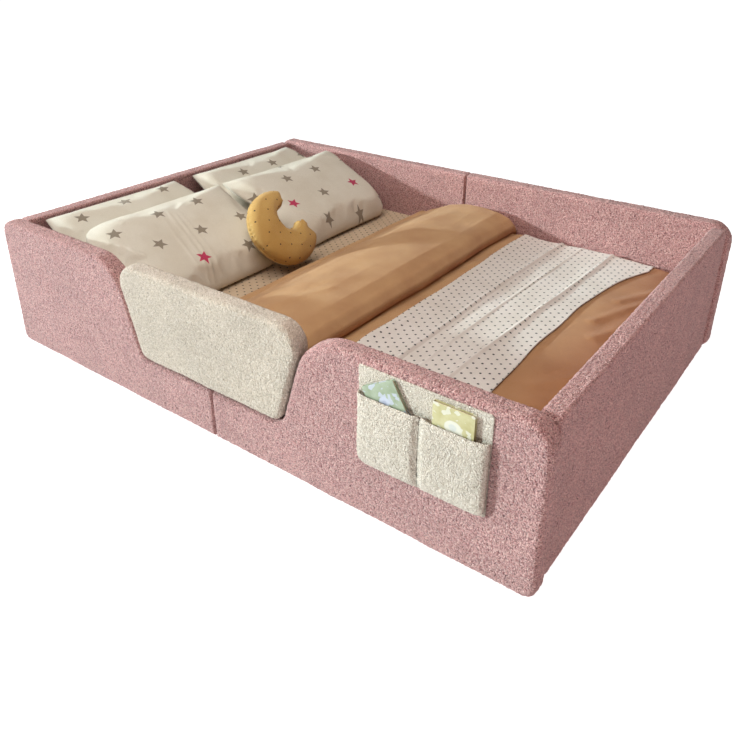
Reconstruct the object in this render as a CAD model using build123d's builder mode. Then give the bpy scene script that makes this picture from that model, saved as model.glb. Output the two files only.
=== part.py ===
"""Upholstered floor bed for a small child: four padded walls around a full-size mattress on slats.

The front wall dips in the middle for climbing in, and a padded guard panel drops into the dip.
Millimetres. Origin on the floor at the centre of the bed, +X towards the foot, +Y towards the
back wall, +Z up.
"""

import os
from math import cos, radians, sin, sqrt

from build123d import *

# ---------------------------------------------------------------- driving dimensions
MATTRESS_LENGTH = 1898
MATTRESS_WIDTH = 1364
MATTRESS_THICK = 150
MATTRESS_PLAY = 7  # free space between the mattress and each padded end wall
SIDE_PLAY = 6  # free space between the mattress and each padded side rail

WALL_TOP = 470  # top of the side rails
END_WALL_TOP = 462  # top of the head and foot walls, a little lower
RAIL_THICK = 62
END_THICK = 50
RAIL_OVERHANG = 12  # how far the rail ends stand past the end walls
GLIDE_THICK = 5
BOARD_THICK = 22  # plywood board inside a side rail
END_BOARD_THICK = 18
PADDING = 20  # foam and cover around the edges of every board

RAIL_BOTTOM_ROUND = 32  # corners of the side rails, seen from the side
RAIL_HEAD_ROUND = 45
RAIL_FOOT_ROUND = 70
EDGE_ROUND = 18  # soft edges of the padding
END_EDGE_ROUND = 16  # the same on the head and foot walls
SEAM_ROUND = 4  # where two rail halves meet

# the dip in the front rail and the guard panel that fills it
DIP_CENTRE = -18
DIP_FLOOR = 167
DIP_HALF_WIDTH = 288  # at the dip floor
DIP_FLARE = 0.31  # sideways run per unit of height
DIP_FLOOR_ROUND = 45
DIP_SHOULDER_ROUND = 145
GUARD_GAP = 6
GUARD_TOP = 476
GUARD_PROUD = 5
GUARD_TOP_ROUND = 68
TONGUE_SPREAD = 160  # from the dip centre to each steel tongue
TONGUE = (30, 5)  # width along the rail, thickness
TONGUE_BELOW = 90
TONGUE_ABOVE = 120
TONGUE_CHAMFER = 1
TONGUE_PLAY = 1  # free space round a tongue in its socket
SOCKET_WALL = 2
SOCKET_SPARE = 6  # how much deeper the socket is than the tongue

# book pockets on the front rail
PATCH_LEFT = 535
PATCH_RIGHT = 887
PATCH_BOTTOM = 180
PATCH_TOP = 455
PATCH_THICK = 3
PATCH_ROUND = 8
POCKET_TOP = 385
POCKET_DEPTH = 24
POCKET_WALL = 5
POCKET_FLOOR = 8  # padding under the pocket's inside
POCKET_CORNER_ROUND = 22
POCKET_EDGE_ROUND = 16
POCKET_FLOOR_GAP = 6  # inside depth at the pocket's floor
POCKET_MOUTH_GAP = 18  # inside depth at the pocket's mouth
BOOK_THICK = 10
BOOK_ROUND = 3
BOOK_PLAY = 0.5  # between a book's back and the patch
LEFT_BOOK = (100, 134)  # width, height
LEFT_BOOK_CORNER = (637, 452)  # top right corner, X and Z
LEFT_BOOK_TILT = 30
RIGHT_BOOK = (105, 158)
RIGHT_BOOK_CORNER = (849, 441)

# slats and their supports
SLAT_TOP = 95
SLAT_THICK = 18
SLAT_WIDTH = 90
SLAT_COUNT = 12
SLAT_ROUND = 4
SLAT_END_PLAY = 4  # between a slat's end and the rail
SLAT_CLEAR = 6  # between the outer slats and the corner brackets
LEDGER_THICK = 30
LEDGER_BOTTOM = 22
LEDGER_START = 45  # from the middle of the bed, past the joint plate
LEDGER_CLEAR = 12  # between a ledger's end and the corner bracket
BEAM_WIDTH = 40
BEAM_END_PLAY = 6
STRAP_OFFSET = 430
STRAP = (25, 1.5)  # width, thickness of the webbing under the slats
STRAP_INSET = 5  # how far a strap stops short of the outer slats' far edges
FOOT_XS = {"head": -500, "middle": 0, "foot": 500}
FOOT_RADIUS = 24
FOOT_CHAMFER = 2
GLIDE_RADIUS = 10
END_GLIDE_RADIUS = 8
GLIDE_XS = (60, 880)  # along each half of a side rail, from the middle
GLIDE_YS = (-600, 0, 600)

# steel parts
BRACKET_LEG = 45
BRACKET_HEIGHT = 66
BRACKET_THICK = 3
BRACKET_HOLE = 30  # from the corner along each leg
BRACKET_DROP = 63  # from the slats' underside to the bracket's lower edge
BRACKET_BOLT_RISES = (16, 50)  # above the bracket's lower edge
PLATE_THICK = 3
JOINT_PLATE = (84, 50)  # length along the rail, height
JOINT_PLATE_ROUND = 6
JOINT_PLATE_Z = 50
JOINT_BOLT_X = 26
HANGER_BOLT_Z = 60
HANGER_BOLT_Y = 34
HANGER_MARGIN = 12  # steel beside each hanger bolt
HANGER_HEIGHT = 56
HANGER_SHELF = 30
SPLICE_LENGTH = 220
SPLICE_HEIGHT = 40
BOLT_RADIUS = 3
BOLT_LENGTH = 39
SCREW_LENGTH = 66
SCREW_XS = (130, 350, 570, 790)
HEAD_RADIUS = 6
HEAD_THICK = 4
HOLE_PLAY = 0.2
HOLE_SPARE = 1  # how much deeper a blind hole is than its fastener

# bedding
MATTRESS_CORNER_ROUND = 30
MATTRESS_RIM_ROUND = 14
SHEET_THICK = 2
SHEET_HEM = 30  # from the mattress's underside up to the sheet's hem
DUVET_THICK = 33
DUVET_SIDE_PLAY = 3
DUVET_FOOT_PLAY = 4
DUVET_HEAD = -195
DUVET_LIP = 45  # thickness of the folded edge at the head end
DUVET_EDGE_ROUND = 8
FOLD_FOOT = 245
FOLD_TOP = 368
FOLD_HEAD_RUN = 105  # length of the folded band's slope at its head end
FOLD_FOOT_RUN = 90
FOLD_FALL = 12  # how much lower the band's crown is at its foot end
FOLD_CROWN_ROUND = 28
THROW_HEAD = 300
THROW_FOOT = 740
THROW_THICK = 4
THROW_ROUND = 6
SOFT_GAP = 0.4
PILLOW = (655, 436, 100)  # width, length, thickness
PILLOW_LAYERS = 6
PILLOW_CROWN = 0.93  # share of the half thickness reached by the flattened crown
PILLOW_CORNER_ROUND = 26
BACK_PILLOW = (-746, 360)  # centre, X and Z
BACK_PILLOW_PITCH = 25
FRONT_PILLOW = (-524, 379)
FRONT_PILLOW_PITCH = 22.5
BACK_PILLOW_YS = {"left": -335, "right": 345}
FRONT_PILLOW_YS = {"left": -335, "right": 347}
MOON_CENTRE = (-322, -73, 398)
MOON_RADIUS = 148
MOON_BITE = 94  # from the moon's centre to the centre of the bite
MOON_BITE_RADIUS = 74
MOON_THICK = 78
MOON_LEAN = 39.4  # how far the moon's face points upwards, degrees
MOON_TURN = 18.6  # how far its opening points upwards, degrees
MOON_TIP_ROUND = 13
MOON_EDGE_ROUND = 12

# ---------------------------------------------------------------- worked-out places
INNER_X = MATTRESS_LENGTH / 2 + MATTRESS_PLAY
INNER_Y = MATTRESS_WIDTH / 2 + SIDE_PLAY
OUTER_X = INNER_X + END_THICK
OUTER_Y = INNER_Y + RAIL_THICK
RAIL_END = OUTER_X + RAIL_OVERHANG
SLAT_BOTTOM = SLAT_TOP - SLAT_THICK
MATTRESS_TOP = SLAT_TOP + MATTRESS_THICK
SHEET_TOP = MATTRESS_TOP + SHEET_THICK
BOARD_FRONT_INSET = (RAIL_THICK - BOARD_THICK) / 2
LEDGER_HEIGHT = SLAT_BOTTOM - LEDGER_BOTTOM
LEDGER_END = INNER_X - BRACKET_LEG - LEDGER_CLEAR
SCREW_HEIGHT = LEDGER_BOTTOM + LEDGER_HEIGHT / 2
SCREW_BITE = SCREW_LENGTH - LEDGER_THICK + HOLE_SPARE  # depth of a screw hole in the rail
BRACKET_BOTTOM = SLAT_BOTTOM - BRACKET_DROP
BRACKET_BOLT_ZS = [BRACKET_BOTTOM + rise for rise in BRACKET_BOLT_RISES]
SOCKET_Y = -(INNER_Y + RAIL_THICK / 2)
SOCKET_INNER = (TONGUE[0] + TONGUE_PLAY, TONGUE[1] + TONGUE_PLAY)
SOCKET_OUTER = (SOCKET_INNER[0] + 2 * SOCKET_WALL, SOCKET_INNER[1] + 2 * SOCKET_WALL)
SOCKET_BOTTOM = DIP_FLOOR - TONGUE_BELOW - SOCKET_SPARE
GUARD_FRONT_Y = -(OUTER_Y + GUARD_PROUD)
GUARD_BOTTOM = DIP_FLOOR + GUARD_GAP

parts = {}


def keep(name, built, colour=None):
    """Labels a finished piece and remembers it for writing."""
    built.part.label = name
    if colour:
        built.part.color = Color(colour)
    parts[name] = built.part


# ---------------------------------------------------------------- padded side rails
def dip_edge(height, side):
    """X of the dip's sloping edge at a height, on the left (-1) or right (1)."""
    return DIP_CENTRE + side * (DIP_HALF_WIDTH + DIP_FLARE * (height - DIP_FLOOR))


def rail_outline(has_dip):
    """Side view of a whole rail, as corner points and one corner radius each."""
    corners = [(-RAIL_END, GLIDE_THICK), (RAIL_END, GLIDE_THICK), (RAIL_END, WALL_TOP)]
    radii = [RAIL_BOTTOM_ROUND, RAIL_BOTTOM_ROUND, RAIL_FOOT_ROUND]
    if has_dip:
        corners += [
            (dip_edge(WALL_TOP, 1), WALL_TOP),
            (dip_edge(DIP_FLOOR, 1), DIP_FLOOR),
            (dip_edge(DIP_FLOOR, -1), DIP_FLOOR),
            (dip_edge(WALL_TOP, -1), WALL_TOP),
        ]
        radii += [DIP_SHOULDER_ROUND, DIP_FLOOR_ROUND, DIP_FLOOR_ROUND, DIP_SHOULDER_ROUND]
    return corners + [(-RAIL_END, WALL_TOP)], radii + [RAIL_HEAD_ROUND]


def padded_rail(plane, has_dip):
    """The whole padded rail, inner face on the plane, soft edges all round."""
    corners, radii = rail_outline(has_dip)
    with BuildPart() as rail:
        with BuildSketch(plane):
            with BuildLine():
                FilletPolyline(*corners, radius=radii, close=True)
            make_face()
        extrude(amount=RAIL_THICK)
        rims = rail.faces().filter_by(Axis.Y).edges()
        fillet(rims, radius=EDGE_ROUND)
    return rail.part


def rail_board(plane, has_dip):
    """The whole plywood board, inset from the padding's outline and down to its underside."""
    corners, radii = rail_outline(has_dip)
    foot = RAIL_END - RAIL_BOTTOM_ROUND - PADDING
    with BuildPart() as board:
        with BuildSketch(plane.offset(BOARD_FRONT_INSET)):
            with BuildLine():
                FilletPolyline(*corners, radius=radii, close=True)
            make_face()
            offset(amount=-PADDING)
            with Locations((0, GLIDE_THICK)):
                Rectangle(2 * foot, 2 * PADDING, align=(Align.CENTER, Align.MIN))
        extrude(amount=BOARD_THICK)
    return board.part


def cut_holes(centres, direction, radius, length):
    """Takes round holes out of the part being built, from each centre along a direction."""
    for centre in centres:
        with BuildSketch(Plane(origin=centre, z_dir=direction)) as hole:
            Circle(radius)
        extrude(hole.sketch, amount=length, mode=Mode.SUBTRACT)


# the places of the fasteners are shared by the holes, the fasteners and the steel parts
def rail_bolt_places(side):
    """Bolt centres on the inner face of a rail, at its two corners and its middle joint."""
    corner = [(end * (INNER_X - BRACKET_HOLE), z) for end in (-1, 1) for z in BRACKET_BOLT_ZS]
    middle = [(x, JOINT_PLATE_Z) for x in (-JOINT_BOLT_X, JOINT_BOLT_X)]
    return [(x, side * INNER_Y, z) for x, z in corner + middle]


def rail_screw_places(side):
    """Screw centres on the inner face of a rail, along its two ledgers."""
    return [(end * x, side * INNER_Y, SCREW_HEIGHT) for end in (-1, 1) for x in SCREW_XS]


def socket_places():
    """X of the two sockets that take the guard's tongues."""
    return [DIP_CENTRE - TONGUE_SPREAD, DIP_CENTRE + TONGUE_SPREAD]


def cut_rail_holes(side, has_dip):
    """Takes a rail's bolt holes, screw holes and mortises out of the part being built."""
    outward = (0, side, 0)
    cut_holes(rail_bolt_places(side), outward, BOLT_RADIUS + HOLE_PLAY, BOLT_LENGTH + HOLE_SPARE)
    cut_holes(rail_screw_places(side), outward, BOLT_RADIUS + HOLE_PLAY, SCREW_BITE)
    if has_dip:
        cut_mortises()


def make_rail(name, side, has_dip):
    """Both halves of one side rail: boards, padded covers, holes and sockets' mortises."""
    # the sketch plane's normal points away from the mattress
    plane = Plane(origin=(0, side * INNER_Y, 0), x_dir=(1, 0, 0), z_dir=(0, side, 0))
    if side > 0:
        plane = Plane(origin=(0, side * INNER_Y + RAIL_THICK, 0), x_dir=(1, 0, 0), z_dir=(0, -1, 0))
    whole_cover = padded_rail(plane, has_dip)
    whole_board = rail_board(plane, has_dip)
    for half, keep_side in (("head", Keep.BOTTOM), ("foot", Keep.TOP)):
        with BuildPart() as board:
            add(whole_board)
            split(bisect_by=Plane.YZ, keep=keep_side)
            cut_rail_holes(side, has_dip)
        with BuildPart() as cover:
            add(whole_cover)
            split(bisect_by=Plane.YZ, keep=keep_side)
            seam = cover.faces().filter_by(Axis.X).filter_by_position(Axis.X, -1, 1).edges()
            fillet(seam, radius=SEAM_ROUND)
            add(whole_board, mode=Mode.SUBTRACT)
            cut_rail_holes(side, has_dip)
        keep(f"{name}_board_{half}", board, "burlywood")
        keep(f"{name}_cover_{half}", cover, "lightpink")


def cut_mortises():
    """Takes the two upright socket mortises out of the part being built."""
    for x in socket_places():
        with BuildSketch(Plane.XY.offset(SOCKET_BOTTOM)) as mortise:
            with Locations((x, SOCKET_Y)):
                Rectangle(*SOCKET_OUTER)
        extrude(mortise.sketch, amount=DIP_FLOOR + 1 - SOCKET_BOTTOM, mode=Mode.SUBTRACT)


make_rail("front_rail", -1, has_dip=True)
make_rail("back_rail", 1, has_dip=False)


# ---------------------------------------------------------------- padded head and foot walls
def end_bolt_places(end):
    """Bolt centres on the inner face of an end wall: corner brackets and beam hanger."""
    corner = [(side * (INNER_Y - BRACKET_HOLE), z) for side in (-1, 1) for z in BRACKET_BOLT_ZS]
    hanger = [(y, HANGER_BOLT_Z) for y in (-HANGER_BOLT_Y, HANGER_BOLT_Y)]
    return [(end * INNER_X, y, z) for y, z in corner + hanger]


def make_end_wall(name, end):
    """One end wall between the rails: its board and its padded cover."""
    outward = (end, 0, 0)
    inner_plane = Plane(origin=(end * INNER_X, 0, 0), x_dir=(0, 1, 0), z_dir=(1, 0, 0))
    height = END_WALL_TOP - GLIDE_THICK
    padding = (END_THICK - END_BOARD_THICK) / 2
    with BuildPart() as board:
        with BuildSketch(inner_plane.offset(end * padding)):
            with Locations((0, GLIDE_THICK)):
                Rectangle(2 * (INNER_Y - PADDING), height - PADDING, align=(Align.CENTER, Align.MIN))
        extrude(amount=end * END_BOARD_THICK)
        cut_holes(end_bolt_places(end), outward, BOLT_RADIUS + HOLE_PLAY, BOLT_LENGTH + HOLE_SPARE)
    with BuildPart() as cover:
        with BuildSketch(inner_plane):
            with Locations((0, GLIDE_THICK)):
                Rectangle(2 * INNER_Y, height, align=(Align.CENTER, Align.MIN))
        extrude(amount=end * END_THICK)
        top_corners = cover.edges().filter_by(Axis.X).group_by(Axis.Z)[-1]
        fillet(top_corners, radius=EDGE_ROUND)
        rims = cover.faces().filter_by(Axis.X).edges()
        top_rims = rims.filter_by_position(Axis.Z, GLIDE_THICK + 1, WALL_TOP)
        fillet(top_rims.filter_by(Axis.Z, reverse=True), radius=END_EDGE_ROUND)
        add(board.part, mode=Mode.SUBTRACT)
        cut_holes(end_bolt_places(end), outward, BOLT_RADIUS + HOLE_PLAY, BOLT_LENGTH + HOLE_SPARE)
    keep(f"{name}_board", board, "burlywood")
    keep(f"{name}_cover", cover, "lightpink")


make_end_wall("head_wall", -1)
make_end_wall("foot_wall", 1)


# ---------------------------------------------------------------- guard panel
def guard_outline(inset):
    """Front view of the guard: it follows the dip at a constant gap."""
    gap = GUARD_GAP + inset
    sideways = gap * sqrt(1 + DIP_FLARE**2)
    bottom = DIP_FLOOR + gap
    top = GUARD_TOP - inset
    return [
        (dip_edge(bottom, 1) - sideways, bottom),
        (dip_edge(top, 1) - sideways, top),
        (dip_edge(top, -1) + sideways, top),
        (dip_edge(bottom, -1) + sideways, bottom),
    ]


guard_floor_round = DIP_FLOOR_ROUND - GUARD_GAP
guard_radii = [guard_floor_round, GUARD_TOP_ROUND, GUARD_TOP_ROUND, guard_floor_round]
guard_plane = Plane(origin=(0, GUARD_FRONT_Y, 0), x_dir=(1, 0, 0), z_dir=(0, -1, 0))


def cut_tongue_slots():
    """Takes the two tongues' slots out of the part being built."""
    for x in socket_places():
        with BuildSketch(Plane.XY.offset(GUARD_BOTTOM - 1)) as slot:
            with Locations((x, SOCKET_Y)):
                Rectangle(*TONGUE)
        extrude(slot.sketch, amount=TONGUE_ABOVE + 1, mode=Mode.SUBTRACT)


with BuildPart() as guard_board:
    with BuildSketch(guard_plane.offset(-(RAIL_THICK + BOARD_THICK) / 2 - GUARD_PROUD)):
        with BuildLine():
            inner_radii = [radius - PADDING for radius in guard_radii]
            FilletPolyline(*guard_outline(PADDING), radius=inner_radii, close=True)
        make_face()
    extrude(amount=BOARD_THICK)
    cut_tongue_slots()

with BuildPart() as guard_cover:
    with BuildSketch(guard_plane):
        with BuildLine():
            FilletPolyline(*guard_outline(0), radius=guard_radii, close=True)
        make_face()
    extrude(amount=-RAIL_THICK)
    fillet(guard_cover.faces().filter_by(Axis.Y).edges(), radius=EDGE_ROUND)
    add(guard_board.part, mode=Mode.SUBTRACT)
    cut_tongue_slots()

keep("guard_board", guard_board, "burlywood")
keep("guard_cover", guard_cover, "ivory")

tongue_length = TONGUE_BELOW + GUARD_GAP + TONGUE_ABOVE - TONGUE_PLAY
with BuildPart() as guard_tongues:
    with BuildSketch(Plane.XY.offset(DIP_FLOOR - TONGUE_BELOW)):
        with Locations([(x, SOCKET_Y) for x in socket_places()]):
            Rectangle(*TONGUE)
    extrude(amount=tongue_length)
    chamfer(guard_tongues.edges().group_by(Axis.Z)[0], length=TONGUE_CHAMFER)
keep("guard_tongues", guard_tongues, "silver")

with BuildPart() as guard_sockets:
    with BuildSketch(Plane.XY.offset(SOCKET_BOTTOM)):
        with Locations([(x, SOCKET_Y) for x in socket_places()]):
            Rectangle(*SOCKET_OUTER)
            Rectangle(*SOCKET_INNER, mode=Mode.SUBTRACT)
    extrude(amount=DIP_FLOOR - PADDING / 2 - SOCKET_BOTTOM)
keep("guard_sockets", guard_sockets, "silver")


# ---------------------------------------------------------------- book pockets
POCKET_Y = -OUTER_Y - PATCH_THICK
pocket_width = (PATCH_RIGHT - PATCH_LEFT) / 2
front_plane = Plane(origin=(0, -OUTER_Y, 0), x_dir=(1, 0, 0), z_dir=(0, -1, 0))

with BuildPart() as pocket_patch:
    with BuildSketch(front_plane):
        with Locations(((PATCH_LEFT + PATCH_RIGHT) / 2, (PATCH_BOTTOM + PATCH_TOP) / 2)):
            RectangleRounded(PATCH_RIGHT - PATCH_LEFT, PATCH_TOP - PATCH_BOTTOM, PATCH_ROUND)
    extrude(amount=PATCH_THICK)
keep("pocket_patch", pocket_patch, "ivory")

for hand, x in (("left", PATCH_LEFT), ("right", PATCH_LEFT + pocket_width)):
    with BuildPart() as pocket:
        with BuildSketch(front_plane.offset(PATCH_THICK)):
            with Locations((x + pocket_width / 2, PATCH_BOTTOM)):
                Rectangle(pocket_width - 1, POCKET_TOP - PATCH_BOTTOM, align=(Align.CENTER, Align.MIN))
        extrude(amount=POCKET_DEPTH)
        lower_corners = pocket.edges().filter_by(Axis.Y).group_by(Axis.Z)[0]
        fillet(lower_corners, radius=POCKET_CORNER_ROUND)
        front_rim = pocket.faces().sort_by(Axis.Y)[0].edges()
        closed_rim = front_rim.filter_by_position(Axis.Z, 0, POCKET_TOP - 1)
        fillet(closed_rim, radius=POCKET_EDGE_ROUND)
        # the inside is a wedge, deepest at the mouth, so that a book is held between the walls
        with BuildSketch(Plane.YZ.offset(x + POCKET_WALL)):
            with BuildLine():
                Polyline(
                    (POCKET_Y, PATCH_BOTTOM + POCKET_FLOOR),
                    (POCKET_Y, POCKET_TOP),
                    (POCKET_Y - POCKET_MOUTH_GAP, POCKET_TOP),
                    (POCKET_Y - POCKET_FLOOR_GAP, PATCH_BOTTOM + POCKET_FLOOR),
                    close=True,
                )
            make_face()
        extrude(amount=pocket_width - 2 * POCKET_WALL, mode=Mode.SUBTRACT)
    keep(f"pocket_{hand}", pocket, "ivory")


def make_book(hand, size, top_right, tilt):
    """A picture book hanging from its top right corner, tilted in its pocket."""
    cover_plane = Plane(
        origin=(top_right[0], POCKET_Y - BOOK_PLAY, top_right[1]),
        x_dir=(cos(radians(tilt)), 0, sin(radians(tilt))),
        z_dir=(0, -1, 0),
    )
    with BuildPart() as book:
        with BuildSketch(cover_plane):
            Rectangle(*size, align=(Align.MAX, Align.MAX))
        extrude(amount=BOOK_THICK)
        fillet(book.edges().filter_by(Axis.Y), radius=BOOK_ROUND)
    keep(f"book_{hand}", book, "palegreen")


make_book("left", LEFT_BOOK, LEFT_BOOK_CORNER, LEFT_BOOK_TILT)
make_book("right", RIGHT_BOOK, RIGHT_BOOK_CORNER, 0)


# ---------------------------------------------------------------- slats and their supports
def make_ledger(name, end, side):
    """A bar screwed to a rail half, which carries the slats' ends."""
    inner_face = [(x, side * (INNER_Y - LEDGER_THICK), z) for x, _, z in rail_screw_places(side)]
    middle = end * (LEDGER_START + LEDGER_END) / 2
    with BuildPart() as ledger:
        with BuildSketch(Plane.XY.offset(LEDGER_BOTTOM)):
            with Locations((middle, side * (INNER_Y - LEDGER_THICK / 2))):
                Rectangle(LEDGER_END - LEDGER_START, LEDGER_THICK)
        extrude(amount=LEDGER_HEIGHT)
        cut_holes(inner_face, (0, side, 0), BOLT_RADIUS + HOLE_PLAY, LEDGER_THICK)
    keep(name, ledger, "tan")


for rail_name, side in (("front", -1), ("back", 1)):
    for half, end in (("head", -1), ("foot", 1)):
        make_ledger(f"ledger_{rail_name}_{half}", end, side)

beam_half = INNER_X - BEAM_END_PLAY
for half, end in (("head", -1), ("foot", 1)):
    with BuildPart() as centre_beam:
        with BuildSketch(Plane.XY.offset(LEDGER_BOTTOM)):
            with Locations((end * beam_half / 2, 0)):
                Rectangle(beam_half, BEAM_WIDTH)
        extrude(amount=LEDGER_HEIGHT)
    keep(f"centre_beam_{half}", centre_beam, "tan")

# steel channel that joins the two beam halves from below and carries the middle foot
with BuildPart() as beam_splice:
    with BuildSketch(Plane.YZ.offset(-SPLICE_LENGTH / 2)):
        with Locations((0, LEDGER_BOTTOM - PLATE_THICK)):
            Rectangle(BEAM_WIDTH + 2 * PLATE_THICK, SPLICE_HEIGHT, align=(Align.CENTER, Align.MIN))
        with Locations((0, LEDGER_BOTTOM)):
            Rectangle(BEAM_WIDTH, SPLICE_HEIGHT, align=(Align.CENTER, Align.MIN), mode=Mode.SUBTRACT)
    extrude(amount=SPLICE_LENGTH)
keep("beam_splice", beam_splice, "silver")

for name, x in FOOT_XS.items():
    top = LEDGER_BOTTOM - (PLATE_THICK if name == "middle" else 0)
    with BuildPart() as beam_foot:
        with BuildSketch(Plane.XY):
            with Locations((x, 0)):
                Circle(FOOT_RADIUS)
        extrude(amount=top)
        chamfer(beam_foot.edges().group_by(Axis.Z)[0], length=FOOT_CHAMFER)
    keep(f"beam_foot_{name}", beam_foot, "dimgray")

# pressed steel seats that hold the beam's ends on the end walls
hanger_width = 2 * (HANGER_BOLT_Y + HANGER_MARGIN)
with BuildPart() as beam_hangers:
    for end in (-1, 1):
        shelf_place = (end * INNER_X, 0, LEDGER_BOTTOM - PLATE_THICK)
        wall_face = Plane(origin=shelf_place, x_dir=(0, -end, 0), z_dir=(-end, 0, 0))
        with BuildSketch(wall_face):
            Rectangle(hanger_width, HANGER_HEIGHT, align=(Align.CENTER, Align.MIN))
        extrude(amount=PLATE_THICK)
        with BuildSketch(wall_face.offset(PLATE_THICK)):
            Rectangle(BEAM_WIDTH, PLATE_THICK, align=(Align.CENTER, Align.MIN))
        extrude(amount=HANGER_SHELF)
        holes = [(end * (INNER_X - PLATE_THICK), y, z) for _, y, z in end_bolt_places(end)[-2:]]
        cut_holes(holes, (end, 0, 0), BOLT_RADIUS + HOLE_PLAY, PLATE_THICK)
keep("beam_hangers", beam_hangers, "silver")

slat_length = 2 * (INNER_Y - SLAT_END_PLAY)
slat_reach = INNER_X - BRACKET_LEG - SLAT_WIDTH / 2 - SLAT_CLEAR
slat_pitch = 2 * slat_reach / (SLAT_COUNT - 1)
slat_xs = [-slat_reach + index * slat_pitch for index in range(SLAT_COUNT)]
for number, x in enumerate(slat_xs, start=1):
    with BuildPart() as slat:
        with BuildSketch(Plane.XY.offset(SLAT_BOTTOM)):
            with Locations((x, 0)):
                Rectangle(SLAT_WIDTH, slat_length)
        extrude(amount=SLAT_THICK)
        fillet(slat.edges().filter_by(Axis.Y), radius=SLAT_ROUND)
    keep(f"slat_{number:02d}", slat, "wheat")

strap_length = 2 * (slat_reach + SLAT_WIDTH / 2 - STRAP_INSET)
with BuildPart() as slat_straps:
    with BuildSketch(Plane.XY.offset(SLAT_BOTTOM - STRAP[1])):
        with Locations((0, -STRAP_OFFSET), (0, STRAP_OFFSET)):
            Rectangle(strap_length, STRAP[0])
    extrude(amount=STRAP[1])
keep("slat_straps", slat_straps, "gray")


# ---------------------------------------------------------------- brackets, plates and fasteners
def add_corner_bracket(end, side):
    """Adds a steel angle in an inner corner: one leg on the rail, one on the end wall."""
    corner_x = end * INNER_X
    corner_y = side * INNER_Y
    with BuildSketch(Plane.XY.offset(BRACKET_BOTTOM)) as section:
        with BuildLine():
            Polyline(
                (corner_x, corner_y),
                (corner_x - end * BRACKET_LEG, corner_y),
                (corner_x - end * BRACKET_LEG, corner_y - side * BRACKET_THICK),
                (corner_x - end * BRACKET_THICK, corner_y - side * BRACKET_THICK),
                (corner_x - end * BRACKET_THICK, corner_y - side * BRACKET_LEG),
                (corner_x, corner_y - side * BRACKET_LEG),
                close=True,
            )
        make_face()
    extrude(section.sketch, amount=BRACKET_HEIGHT)
    on_rail = [(end * (INNER_X - BRACKET_HOLE), corner_y - side * BRACKET_THICK, z) for z in BRACKET_BOLT_ZS]
    on_wall = [(corner_x - end * BRACKET_THICK, side * (INNER_Y - BRACKET_HOLE), z) for z in BRACKET_BOLT_ZS]
    cut_holes(on_rail, (0, side, 0), BOLT_RADIUS + HOLE_PLAY, BRACKET_THICK)
    cut_holes(on_wall, (end, 0, 0), BOLT_RADIUS + HOLE_PLAY, BRACKET_THICK)


with BuildPart() as corner_brackets:
    for side in (-1, 1):
        for end in (-1, 1):
            add_corner_bracket(end, side)
keep("corner_brackets", corner_brackets, "silver")

with BuildPart() as joint_plates:
    for side in (-1, 1):
        rail_face = Plane(origin=(0, side * INNER_Y, JOINT_PLATE_Z), x_dir=(1, 0, 0), z_dir=(0, -side, 0))
        with BuildSketch(rail_face):
            RectangleRounded(*JOINT_PLATE, JOINT_PLATE_ROUND)
        extrude(amount=PLATE_THICK)
        places = rail_bolt_places(side)[-2:]
        holes = [(x, side * (INNER_Y - PLATE_THICK), z) for x, _, z in places]
        cut_holes(holes, (0, side, 0), BOLT_RADIUS + HOLE_PLAY, PLATE_THICK)
keep("joint_plates", joint_plates, "silver")


def add_fasteners(centres, direction, standoff, length):
    """Adds round-headed fasteners to the part being built, heads standing off the face."""
    away = Vector(*direction)
    for centre in centres:
        under_head = Vector(*centre) - away * standoff
        with BuildSketch(Plane(origin=under_head, z_dir=direction)) as shank:
            Circle(BOLT_RADIUS)
        extrude(shank.sketch, amount=length)
        with BuildSketch(Plane(origin=under_head, z_dir=direction)) as head:
            Circle(HEAD_RADIUS)
        extrude(head.sketch, amount=-HEAD_THICK)


with BuildPart() as bracket_bolts:
    for side in (-1, 1):
        add_fasteners(rail_bolt_places(side)[:-2], (0, side, 0), BRACKET_THICK, BOLT_LENGTH)
    for end in (-1, 1):
        add_fasteners(end_bolt_places(end)[:-2], (end, 0, 0), BRACKET_THICK, BOLT_LENGTH)
keep("bracket_bolts", bracket_bolts, "dimgray")

with BuildPart() as joint_bolts:
    for side in (-1, 1):
        add_fasteners(rail_bolt_places(side)[-2:], (0, side, 0), PLATE_THICK, BOLT_LENGTH)
    for end in (-1, 1):
        add_fasteners(end_bolt_places(end)[-2:], (end, 0, 0), PLATE_THICK, BOLT_LENGTH)
keep("joint_bolts", joint_bolts, "dimgray")

with BuildPart() as ledger_screws:
    for side in (-1, 1):
        add_fasteners(rail_screw_places(side), (0, side, 0), LEDGER_THICK, SCREW_LENGTH)
keep("ledger_screws", ledger_screws, "dimgray")

# glides nailed under the boards
board_y = INNER_Y + RAIL_THICK / 2
wall_x = INNER_X + END_THICK / 2
with BuildPart() as glides:
    with BuildSketch(Plane.XY):
        with Locations([(end * x, side * board_y) for side in (-1, 1) for end in (-1, 1) for x in GLIDE_XS]):
            Circle(GLIDE_RADIUS)
        with Locations([(end * wall_x, y) for end in (-1, 1) for y in GLIDE_YS]):
            Circle(END_GLIDE_RADIUS)
    extrude(amount=GLIDE_THICK)
keep("wall_glides", glides, "black")


# ---------------------------------------------------------------- mattress and bedding
with BuildPart() as mattress:
    with BuildSketch(Plane.XY.offset(SLAT_TOP)):
        RectangleRounded(MATTRESS_LENGTH, MATTRESS_WIDTH, MATTRESS_CORNER_ROUND)
    extrude(amount=MATTRESS_THICK)
    fillet(mattress.faces().filter_by(Axis.Z).edges(), radius=MATTRESS_RIM_ROUND)
keep("mattress", mattress, "white")

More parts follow.
